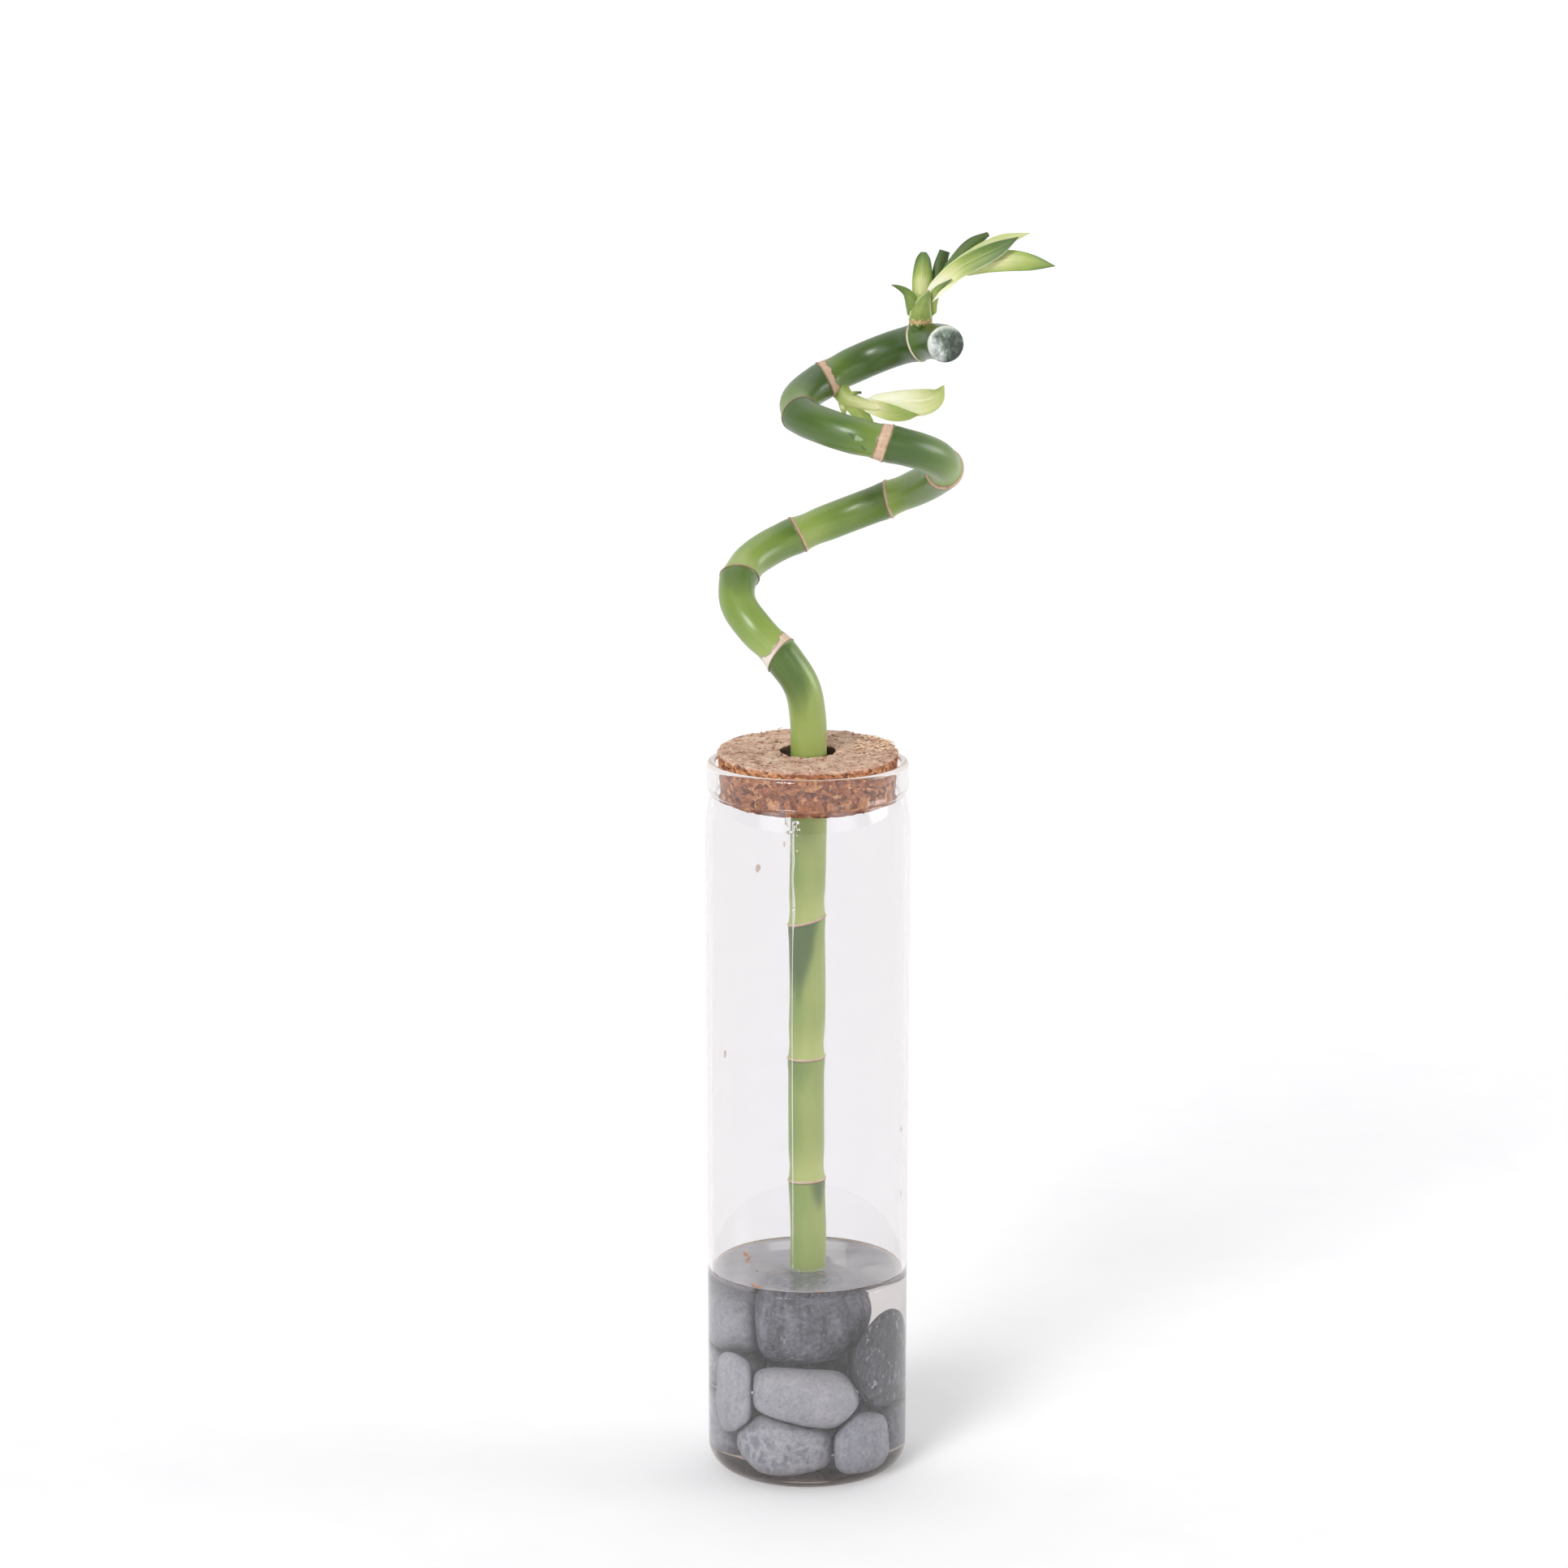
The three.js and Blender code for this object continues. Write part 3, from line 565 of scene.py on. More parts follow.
# The cane's skin. caneSpace holds straight-cane coordinates, so the streaks run along it. tone
# goes from the pale foot to the deep green top and under is the darker wedge below each ring. gap
# is the distance from the nearest ring, above tells on which side of it, band is how far that
# ring's dry collar reaches up, frayed how ragged it is and bleach how white. end is 1 on the cut
# end.
def caneMaterial():
    looks = caneLooks
    recipe = Recipe("caneSkin")
    space = recipe.markVector("caneSpace")
    streaks, clouds, smudges, patches, ragged, layers, fibres = recipe.noises(space, looks["noises"])
    tone = recipe.mark("tone") + (clouds - 0.5) * 0.3 + (streaks - 0.5) * 0.06
    green = recipe.ramp(tone, looks["green"])
    patch = (recipe.mark("under") + (smudges - 0.5) * 0.4 + (streaks - 0.5) * 0.06).step(0.1, 0.95)
    shaded = recipe.blend(patch * 0.85, green, looks["patch"])
    specks = recipe.cells(recipe.stretched(space, (1, 1, 0.8)), 0.3).step(0.07, 0.04)
    speckled = recipe.blend(specks * patches.step(0.55, 0.62) * 0.6, shaded, looks["brown"])
    torn, glint = scarMasks(recipe)
    scarred = recipe.blend(torn * 0.6, speckled, looks["scar"])
    # the pale spot on the scar is a painted highlight of the light on its wet skin
    glinted = recipe.blend(glint * 0.4, scarred, looks["glint"])

    # the dry collar: fibrous, with a ragged upper edge and brown edges
    gap = recipe.mark("gap")
    above = recipe.mark("above")
    band = recipe.mark("band")
    reach = band * ((ragged - 0.5) * recipe.mark("frayed") * 2.0 + 1.0)
    collar = gap.step(0.4, 0.22).most(above * (gap - reach).step(0.14, -0.08))
    dry = recipe.ramp(layers * 0.55 + fibres * 0.45, looks["collar"])
    bleached = recipe.blend(recipe.mark("bleach"), dry, looks["collarWhite"])
    low = (gap - 0.12).size().step(0.3, 0.1) * (1 - above)
    high = (gap - reach + 0.12).size().step(0.34, 0.1) * above * band.step(0.9, 1.3)
    edged = recipe.blend(low.most(high * 0.7) * 0.8, bleached, looks["brown"])
    skin = recipe.blend(collar, glinted, edged)

    end = recipe.mark("end")
    endColour, endHeight = cutEnd(recipe)
    height = streaks * 0.08 + collar * (layers * 1.6 + fibres) + end * endHeight - torn
    wet = torn.most(glint)
    roughness = looks["roughness"] + collar * 0.3 + streaks * 0.06 - end * 0.2 - wet * 0.2
    coat = {"Coat Weight": (1 - collar) * looks["coat"]}
    return recipe.skin(looks, recipe.blend(end, skin, endColour), roughness, height, coat)


leafLooks = {
    "green": [(0.0, shade(244, 244, 222)), (0.28, shade(213, 213, 156)), (0.52, shade(160, 174, 92)),
              (0.76, shade(102, 128, 58)), (1.0, shade(64, 84, 38))],
    "straw": [(0.35, shade(136, 100, 60)), (0.5, shade(200, 170, 120)), (0.7, shade(226, 204, 160))],
    "rim": shade(232, 238, 200),
    "noises": {"veins": ((7, 0.5, 3), 1.4, 3.0, 0.6), "clouds": ((0.8, 1.6, 3), 1.1, 2.0, 0.5),
               "fibres": (None, 6.0, 4.0, 0.7)},
    "roughness": 0.4, "relief": (0.0001, 0.6),
    "even": {"Specular IOR Level": 0.45, "Subsurface Weight": 0.25,
             "Subsurface Radius": (0.5, 0.8, 0.2), "Subsurface Scale": 0.0015},
}


# Leaf skin. leafSpace is (across, along, leaf number), tone goes from cream to dark green, rim
# is the pale margin, dry is the straw collar and fine veins run side by side from root to tip.
def leafMaterial():
    looks = leafLooks
    recipe = Recipe("leafSkin")
    veins, clouds, fibres = recipe.noises(recipe.markVector("leafSpace"), looks["noises"])
    green = recipe.ramp(recipe.mark("tone") + (veins - 0.5) * 0.24 + (clouds - 0.5) * 0.14, looks["green"])
    rimmed = recipe.blend(recipe.mark("rim"), green, looks["rim"])
    colour = recipe.blend(recipe.mark("dry"), rimmed, recipe.ramp(fibres, looks["straw"]))
    return recipe.skin(looks, colour, looks["roughness"] + veins * 0.1, veins)


stoneLooks = {
    "grey": [(0.0, shade(44, 43, 48)), (0.3, shade(94, 96, 108)),
             (0.6, shade(142, 144, 156)), (1.0, shade(190, 190, 196))],
    "rubbed": shade(206, 207, 212),
    "noises": {
        "mottle": (None, 110.0, 5.0, 0.65), "speckle": (None, 760.0, 5.0, 0.85),
        "clumps": (None, 420.0, 4.0, 0.65), "upright": ((1, 1, 0.16), 210.0, 5.0, 0.7),
        "veined": (None, 80.0, 2.0, 0.5), "chips": ((1, 1, 0.6), 520.0, 5.0, 0.75),
        "worn": (None, 170.0, 2.0, 0.5),
    },
    "netWarp": (240.0, (0.006, 0.006, 0.006)), "netScale": 250.0,
    "veinWarp": (90.0, (0.024, 0.024, 0.024)), "veinScale": 60.0,
    "mottled": 0.5, "speckled": 1.1, "spotted": 0.36, "banded": 1.3, "veined": 0.14,
    "nicked": 0.45, "mostNicked": 0.7,
    "roughness": 0.55, "relief": (0.0012, 0.9), "even": {},
}


# River stone: lilac-grey with slow mottling, fine speckle, a net of pale spots, upright bands,
# rubbed pale nicks and a few thin pale veins. tone is the stone's own lightness, but the two stones
# hidden in the middle are set darkest as painted shade between the stones. spots, bands and nicks
# are how much of each it has.
def stoneMaterial():
    looks = stoneLooks
    recipe = Recipe("riverStone")
    place = recipe.place()
    mottle, speckle, clumps, upright, veined, chips, worn = recipe.noises(place, looks["noises"])
    net = recipe.cells(recipe.pushed(place, *looks["netWarp"]), looks["netScale"], "DISTANCE_TO_EDGE")
    pale = net.step(0.34, 0.0) * 0.7 + clumps.step(0.4, 0.6) * 0.3 - 0.4
    spotted = pale * recipe.mark("spots") * looks["spotted"]
    bands = recipe.mark("bands")
    value = (recipe.mark("tone") + (mottle - 0.5) * looks["mottled"] + (speckle - 0.5) * looks["speckled"]
             + spotted + (upright - 0.5) * bands * looks["banded"])
    veins = recipe.cells(recipe.pushed(place, *looks["veinWarp"]), looks["veinScale"], "DISTANCE_TO_EDGE")
    thin = veins.step(0.03, 0.0) * veined.step(0.5, 0.62) * looks["veined"]
    rubbed = chips.step(0.56, 0.64) * worn.step(0.36, 0.54) * recipe.mark("nicks")
    nicked = (rubbed * looks["nicked"]).least(looks["mostNicked"])
    colour = recipe.blend(thin + nicked, recipe.ramp(value, looks["grey"]), looks["rubbed"])
    height = mottle + speckle * 0.5 + upright * bands * 0.4 - nicked * 0.5
    return recipe.skin(looks, colour, looks["roughness"] + mottle * 0.15, height)


crumbLooks = {
    "grainScale": 1800.0, "places": (0.3, 0.7), "roughness": 0.7, "relief": (0.0001, 0.5), "even": {},
}


# Plain matt stuff for crumbs, root threads and specks, in two colours.
def crumbMaterial(name, light, dark):
    looks = crumbLooks
    recipe = Recipe(name)
    grain = recipe.noise(recipe.place(), looks["grainScale"], 3.0)
    stops = list(zip(looks["places"], (shade(*dark), shade(*light))))
    return recipe.skin(looks, recipe.ramp(grain, stops), looks["roughness"], grain)


print("materials ready")

# Vase

# hollow is how far the foot's underside rises at its middle, halfway and near its edge. The glass
# browns from the first height of brownFoot down to the second.
vase = {
    "height": 223.8, "baseRadius": 30.7, "bodyRadius": 31.3, "cornerRadius": 8.0,
    "floor": 3.0, "innerCorner": 6.0, "innerRadius": 29.3, "mouthRadius": 28.1,
    "shoulderFoot": 199.0, "shoulderBend": 6.0, "neckHeight": 214.2, "neckRadius": 29.7,
    "beadRadius": 30.75, "beadTurn": 0.6, "beadRise": 2.6, "mouthRounding": 1.25,
    "hollow": (0.5, 0.42, 0.15), "brownFoot": (6.5, 4.0), "columns": 180,
}


# Points of an arc about a middle, from one angle to another, in degrees.
def arc(middle, radius, start, finish, count):
    angle = np.radians(np.linspace(start, finish, count))
    return np.stack([middle[0] + radius * np.cos(angle), middle[1] + radius * np.sin(angle)], -1)


# Points of a bend with one control point: a parabola from the first point to the last.
def bend(first, control, last, count):
    t = np.linspace(0, 1, count)[:, None]
    return (1 - t) ** 2 * np.array(first) + 2 * t * (1 - t) * np.array(control) + t**2 * np.array(last)


# Points spaced evenly on a straight line, without its first point.
def straight(first, last, count):
    return np.linspace(first, last, count)[1:]


# The glass in section: foot, rounded corner, wall, drawn-in neck, rolled rim, and back down the
# inside to the thick floor. Each stretch ends with its number of points.
def vaseProfile():
    v = vase
    flat = v["baseRadius"] - v["cornerRadius"]
    neck, top, rounding = v["neckHeight"], v["height"], v["mouthRounding"]
    outer, inner, mouth, bead = v["bodyRadius"], v["innerRadius"], v["mouthRadius"], v["beadRadius"]
    bending = neck - v["shoulderBend"]
    beadFoot = neck + v["beadRise"]
    floorBend = v["floor"] + v["innerCorner"]
    return np.vstack([
        list(zip((0, flat / 2, flat - 3), v["hollow"])),
        arc((flat, v["cornerRadius"]), v["cornerRadius"], -90, 0, 22),
        straight((v["baseRadius"], v["cornerRadius"]), (outer, v["shoulderFoot"]), 26),
        bend((outer, v["shoulderFoot"]), (outer, bending), (v["neckRadius"], neck), 16)[1:],
        bend((v["neckRadius"], neck), (bead - 0.1, neck + v["beadTurn"]), (bead, beadFoot), 14)[1:],
        straight((bead, beadFoot), (bead, top - rounding), 8),
        arc((bead - rounding, top - rounding), rounding, 0, 90, 12)[1:],
        bend((bead - rounding, top), (mouth, top), (mouth, top - rounding), 12)[1:],
        straight((mouth, top - rounding), (mouth, neck), 10),
        bend((mouth, neck), (inner, bending), (inner, v["shoulderFoot"]), 16)[1:],
        straight((inner, v["shoulderFoot"]), (inner, floorBend), 30),
        arc((inner - v["innerCorner"], floorBend), v["innerCorner"], 0, -90, 14)[1:],
        straight((inner - v["innerCorner"], v["floor"]), (2, v["floor"]), 6),
        [(0, v["floor"])],
    ])


vasePoints, vaseFaces = turnedShape(vaseProfile(), vase["columns"])
footMark = easedStep(vasePoints[:, 2], *vase["brownFoot"])
makePiece("vaseGlass", vasePoints, vaseFaces, glassMaterial(), "glass", "vase", {"foot": footMark})
print("vase made")

# Cork

# Relief is given as (size of its noise, its seed, its low and high step, its depth).
cork = {
    "topRadius": 27.7, "bottomRadius": 26.35, "thickness": 15.0, "holeRadius": 8.1,
    "middleHeight": 219.6, "tilt": 2.7, "columns": 340, "sectionPoints": (34, 30, 38, 26),
    "pits": (1.3, 3, 0.62, 0.9, 0.4), "chips": (1.8, 11, 0.62, 0.92, 0.9),
    "crumbled": (1.6, 13, 0.3, 0.7, 1.2), "crumbledWay": (0.6, 0.8), "crumbledFrom": (20, 27),
    # edgeReach is how far the chipping at the edges reaches; the next is how far the painted shade along the
    # lower edge reaches
    "edgeReach": 1.2, "edgeDark": 0.9,
}


# Depth of one kind of relief: a stepped soft noise.
def corkRelief(points, kind):
    size, seed, low, high, depth = cork[kind]
    return easedStep(softNoise(points, size, seed), low, high) * depth


# The cork's ring: a closed outline carried round the axis, pitted and chipped inwards along the
# normal by soft noise, most at its edges, then tilted towards the front.
def corkShape():
    half = cork["thickness"] / 2
    hole, low, high = cork["holeRadius"], cork["bottomRadius"], cork["topRadius"]
    corners = np.array([(hole, -half), (low, -half), (high, half), (hole, half), (hole, -half)], float)
    outline = np.vstack([np.linspace(a, b, n, endpoint=False)
                         for a, b, n in zip(corners[:-1], corners[1:], cork["sectionPoints"])])
    for _ in range(2):  # eases the corners
        outline = (np.roll(outline, 1, 0) + 2 * outline + np.roll(outline, -1, 0)) / 4
    angle = fullTurn(cork["columns"])
    forward = np.roll(outline, -1, 0) - np.roll(outline, 1, 0)
    outward = unit(np.stack([forward[:, 1], -forward[:, 0]], -1))
    radial = vectors(np.cos(angle), np.sin(angle), 0.0)
    up = np.array([0, 0, 1.0])
    points, normals = [(pair[:, None, :1] * radial + pair[:, None, 1:] * up).reshape(-1, 3)
                       for pair in (outline, outward)]
    fromAxis, height = np.hypot(points[:, 0], points[:, 1]), points[:, 2]
    topEdge = np.hypot(fromAxis - high, height - half)
    bottomEdge = np.hypot(fromAxis - low, height + half)
    holeEdge = np.hypot(fromAxis - hole, height - half)
    edge = np.exp(-np.minimum(np.minimum(topEdge, bottomEdge), holeEdge) / cork["edgeReach"])
    rough = softNoise(points, 0.6, 5) * 0.18 + softNoise(points, 2.6, 7) * 0.08
    backRight = easedStep(points[:, :2] @ np.array(cork["crumbledWay"]), *cork["crumbledFrom"])
    loose = corkRelief(points, "chips") + corkRelief(points, "crumbled") * backRight
    # side marks the outer wall, which the material paints redder and darker, the darkness as painted shade
    side = easedStep(fromAxis, low - 1.5, low - 0.5) * easedStep(half - height, 0.2, 1.2)
    # inner marks the hole's wall, which the material paints near black as shade
    inner = easedStep(fromAxis, hole + 0.5, hole + 0.15)
    points = points - normals * (corkRelief(points, "pits") + rough + loose * edge)[:, None]
    tilt = math.radians(cork["tilt"])
    x, y, z = points.T
    points = np.stack([x, y * math.cos(tilt) - z * math.sin(tilt),
                       y * math.sin(tilt) + z * math.cos(tilt) + cork["middleHeight"]], -1)
    faces = [gridFaces(len(outline), cork["columns"], closeRows=True)[:, ::-1]]
    return points, faces, {"edgeDark": np.exp(-bottomEdge / cork["edgeDark"]), "inner": inner, "side": side}


corkPoints, corkFaces, corkMarks = corkShape()
makePiece("corkStopper", corkPoints, corkFaces, corkMaterial(), "cork", "cork", corkMarks)
print("cork made")

# Cane

cane = {
    "radius": 5.52, "foot": 62.0, "columns": 64, "lineSteps": 60,
    "coarseStep": 1.6, "fineStep": 0.17, "leastStep": 0.05, "fineReach": 5.6, "tip": (3.0, 16),
    "planeReach": 26.0, "ringReach": 9.5,
    "farGap": 40.0, "offGap": 6.0,
    # bells across a ring (height, middle, width) and the collar's thickness
    "swelling": (0.035, -1.5, 2.2), "waist": (0.05, 4.5, 3.0), "lip": (0.3, -0.1, 0.32), "collar": 0.14,
    "waves": 0.06, "deeper": 0.1, "paler": 0.2, "greener": 0.14,
    "endRadius": 5.2, "endRounding": 0.7, "endDome": 0.85, "endRings": 10, "endBumps": 0.5,
    # how far from the end's middle its pale rim runs, a painted highlight on the upper left
    "endRim": (4.5, 4.95),
}

# The same stations as the solid's: straight up through the cork, then the spiral.
caneStations = [
    (0, 0, 62), (0.3, 0, 74), (-0.2, 0, 92), (-0.4, 0, 130), (0, -0.2, 152), (-0.3, -0.3, 174),
    (0.1, -1, 195), (0.3, -2, 213), (0.2, -2.5, 230), (0, -3, 237.5), (-2, -5, 247.8),
    (-8.7, -6.5, 258), (-15.8, -4.5, 265), (-20.9, 1, 271.5), (-21.2, 8.5, 277.4),
    (-18, 16, 281.5), (-11.2, 23.5, 285.4), (1.2, 31, 289.8), (11.2, 34, 293.3),
    (21.1, 32.8, 297.3), (30.5, 27.5, 302), (37, 19, 306.4), (41, 8, 311.7),
    (38.4, -1.6, 316.3), (32.4, -8, 319.7), (22.7, -12.7, 322.7), (13, -12.2, 324.9),
    (4.5, -7.5, 327), (-2, 0.5, 329), (-3, 9, 331.6), (0.4, 17.4, 334.5), (8.5, 25.5, 338.3),
    (18.4, 29.2, 342.5), (28.2, 26.5, 346.5), (35.6, 19, 348.9), (40, 11, 349.7),
    (41.2, 4.6, 349.9),
]

# Node rings: height, width of the dry collar, how ragged it is, how its plane leans in X, Y and
# Z, the dark wedge below it and how white the collar is. A wedge has its middle's turn from the
# viewer in degrees, to the right of the way the cane grows, half width in degrees, length and
# strength.
caneRings = [
    (92.1, 0.4, 0.6, (-0.05, 0, 0), (42, 34, 16, 0.8), 0.2),
    (131.0, 0.45, 0.6, (-0.06, 0, 0), (-25, 60, 18, 0.35), 0.2),
    (174.3, 0.45, 0.6, (-0.28, 0, 0), (-38, 74, 36, 1.0), 0.2),
    (257.4, 3.2, 0.9, (-0.04, 0.35, -0.32), (-35, 90, 30, 0.75), 0.75),
    (278.5, 0.4, 0.5, (-0.22, -0.16, 0.18), (0, 100, 20, 0.6), 0.0),
    (288.4, 0.7, 0.4, (0, -0.35, 0.15), (-40, 60, 18, 0.5), 0.0),
    (299.1, 0.5, 0.5, (0.1, 0.26, -0.18), (-35, 60, 14, 0.5), 0.0),
    (312.1, 1.6, 0.5, (0, -0.04, -0.39), (0, 60, 10, 0.3), 0.0),
    (322.5, 3.1, 0.15, (-0.01, 0.3, 0.06), (0, 110, 22, 0.6), 0.0),
    (329.3, 0.3, 0.5, (-0.03, -0.05, 0.07), (20, 70, 12, 0.35), 0.3),
    (336.9, 2.6, 0.9, (0.04, -0.52, 0.07), (0, 100, 14, 0.6), 0.0),
    (348.2, 0.35, 0.4, (0.12, 0.36, 0.16), (0, 110, 20, 0.6), 0.5),
]
# The skin's tone by the distance along the cane: the distances and their tones.
caneTone = ([0, 150, 185, 200, 260, 330, 400, 465],
            [0.18, 0.18, 0.26, 0.4, 0.46, 0.6, 0.76, 0.92])


# Distances along the cane of its sections: even steps, and fine ones round each ring and at the
# tip.
def caneSections(length, ringPlaces):
    coarse = np.arange(0, length, cane["coarseStep"])
    fine = ringPlaces[:, None] + np.arange(-cane["fineReach"], cane["fineReach"], cane["fineStep"])
    tipLength, tipCount = cane["tip"]
    tip = np.linspace(length - tipLength, length, tipCount)
    every = np.sort(np.concatenate([coarse, fine.ravel(), tip]))
    every = every[(every >= 0) & (every <= length)]
    return every[np.concatenate([[True], np.diff(every) > cane["leastStep"]])]


# Distances of the skin from the leaning plane of each ring, (sections, columns, rings), negative
# below it. Far from a ring only the way along the cane counts, because the planes cut the spiral
# more than once.
def planeGaps(spine, ahead, ringCentres, planes):
    gaps = np.einsum("srk,nk->srn", spine, planes) - np.einsum("nk,nk->n", ringCentres, planes)
    gaps = np.where(np.abs(ahead) > cane["planeReach"], cane["farGap"] * np.sign(ahead), gaps)
    beyond = (np.abs(ahead) > cane["ringReach"]) & (np.abs(gaps) < cane["offGap"])
    return np.where(beyond, cane["offGap"] * np.sign(ahead), gaps)


# The dark wedges below the rings: each is widest at its ring and narrows to nothing down the cane.
def caneWedges(angle, middle, ahead, over, wedges):
    turned = np.abs((angle[:, None] - middle + np.pi) % (2 * np.pi) - np.pi)
    left = 1 + ahead / wedges[:, 2]
    wedge = easedStep(np.radians(wedges[:, 1]) * np.clip(left, 0, 1) - turned, -0.5, 0.5)
    return (wedge * easedStep(left, 0, 0.75) * (1 - over) * wedges[:, 3]).max(axis=2)


# The cane: round sections along its curve. Each ring lies in a leaning plane. Below it the cane
# swells softly, at it stands a thin dry lip, and above it the cane is waisted. The sealed end is a
# low, uneven dome.
def caneShape():
    heights, collars, raggedness, leans, wedges, whiteness = [np.array(column, float)
                                                              for column in zip(*caneRings)]
    line = smoothCurve(caneStations, cane["lineSteps"])
    way = travelled(line)
    length = way[-1]
    ringPlaces = np.interp(heights, np.maximum.accumulate(line[:, 2]), way)
    sections = caneSections(length, ringPlaces)
    centres = readAt(sections, way, line)
    angle = fullTurn(cane["columns"])
    along, side, across, reach = roundSections(centres, (1, 0, 0), angle)
    ahead = sections[:, None, None] - ringPlaces
    planes = unit(readAt(ringPlaces, sections, along) + leans)
    gaps = planeGaps(centres[:, None] + reach * cane["radius"], ahead, readAt(ringPlaces, way, line), planes)
    nearest = np.argmin(np.abs(gaps), axis=2)
    gap = np.take_along_axis(gaps, nearest[:, :, None], 2)[:, :, 0]

    # a dry collar is whitest on the left, and the widest one is narrow in its middle
    bleach = whiteness[nearest] * (0.25 + 0.9 * easedStep(-reach[:, :, 0], -0.5, 0.6))
    narrowed = 0.36 + 0.8 * easedStep(np.abs(reach[:, :, 0]), 0.1, 0.95)
    band = collars[nearest] * np.where(collars[nearest] == collars.max(), narrowed, 1)

    shape = 1 + bell(gap, *cane["swelling"]) - bell(gap, *cane["waist"])
    lip = bell(gap, *cane["lip"])
    lip += cane["collar"] * easedStep(gap, -0.3, 0) * easedStep(gap, band + 0.4, band)
    ridges = vectors(np.cos(angle) * 5, np.sin(angle) * 5, sections[:, None] / 4)
    waves = cane["waves"] * (softNoise(ridges.reshape(-1, 3), 4.0, 21) - 0.5).reshape(gap.shape)
    radius = cane["radius"] * shape + lip + waves
    toEnd = np.clip(1 - (length - sections) / cane["endRounding"], 0, 1)
    radius = cane["endRadius"] + (radius - cane["endRadius"]) * np.sqrt(1 - toEnd**2)[:, None]
    skin = centres[:, None] + reach * radius[:, :, None]

    shares = np.linspace(1, 0, cane["endRings"] + 1)[1:-1]
    domed = centres[-1] + along[-1] * (cane["endDome"] * (1 - shares**2))[:, None]
    cap = domed[:, None] + reach[-1] * (cane["endRadius"] * shares)[:, None, None]
    bumps = (softNoise(cap.reshape(-1, 3), 1.4, 31) - 0.6) * cane["endBumps"]
    cap += along[-1] * bumps.reshape(len(shares), -1, 1)
    poles = np.array([centres[0], centres[-1] + along[-1] * cane["endDome"] * 0.8])
    points, faces = closedSkin(np.concatenate([skin, cap]), *poles)

    over = np.where(nearest[:, :, None] == np.arange(len(caneRings)),
                    easedStep(gap, -0.3, 0.3)[:, :, None], ahead > 0)
    viewer = np.array([0, -1, 0.2])
    facing = np.arctan2(readAt(ringPlaces, sections, across) @ viewer,
                        readAt(ringPlaces, sections, side) @ viewer)
    under = caneWedges(angle, facing + np.radians(wedges[:, 0]), ahead, over, wedges)
    # the skin is palest just above a ring and deepens towards the next
    paler = (easedStep(ahead, 15, 1) * over).max(axis=2)
    deeper = (easedStep(ahead, -14, -1) * (1 - over)).max(axis=2)
    inVase = easedStep(sections, 160, 130)[:, None]
    greener = inVase * easedStep(-np.cos(angle) - 0.4 * np.sin(angle), 0.2, 1.0)
    tone = np.interp(sections, *caneTone)[:, None] + cane["greener"] * greener
    tone = tone + cane["deeper"] * deeper - cane["paler"] * paler

    # the cut end's own axes: to the right, along and up, from its middle
    endRight = unit(np.cross((0, 0, 1.0), along[-1]))
    endAxes = np.stack([endRight, along[-1], np.cross(along[-1], endRight)], -1)
    endSpace = (points - centres[-1]) @ endAxes
    fromMiddle = np.hypot(endSpace[:, 0], endSpace[:, 2])
    # the pale rim shows only on the upper left, as a painted highlight where the light falls
    litUpperLeft = easedStep((endSpace[:, 2] - endSpace[:, 0]) * 0.7, -1.5, 2.5)
    straightSpace = vectors(np.cos(angle) * cane["radius"], np.sin(angle) * cane["radius"],
                            sections[:, None]).reshape(-1, 3)
    capSpace = points[len(straightSpace):] * 0.8 + 50

    # a mark of the skin, with one value for the cap
    def skinMark(values, capValue):
        return np.concatenate([np.broadcast_to(values, gap.shape).ravel(), np.full(len(capSpace), capValue)])

    return points, faces, {
        "caneSpace": np.vstack([straightSpace, capSpace]),
        "tone": skinMark(np.clip(tone, 0, 1), 0.6),
        "under": skinMark(under, 0.0),
        "gap": skinMark(np.abs(gap), cane["farGap"]),
        "above": skinMark(easedStep(gap, -0.15, 0.15), 0.0),
        "bleach": skinMark(bleach, 0.0),
        "band": skinMark(band, 0.5),
        "frayed": skinMark(raggedness[nearest], 0.0),
        "end": skinMark(easedStep(sections, length - 1.0, length - 0.3)[:, None], 1.0),
        "endSpace": endSpace,
        "endRim": easedStep(fromMiddle, *cane["endRim"]) * litUpperLeft,
    }


canePoints, caneFaces, caneMarks = caneShape()
makePiece("bambooCane", canePoints, caneFaces, caneMaterial(), "cane", "cane", caneMarks)
print("cane made:", len(canePoints), "points")

# Shoots

leafShape = {
    "rows": 56, "columns": 21, "thickness": 0.75, "edgeThickness": 0.22, "tipHalfWidth": 0.12,
    "rootShare": 0.16, "rootWidth": 0.45, "wave": 0.12, "keel": (0.25, 0, 0.12),
    "stalkColumns": 40, "ribs": 0.08,
}

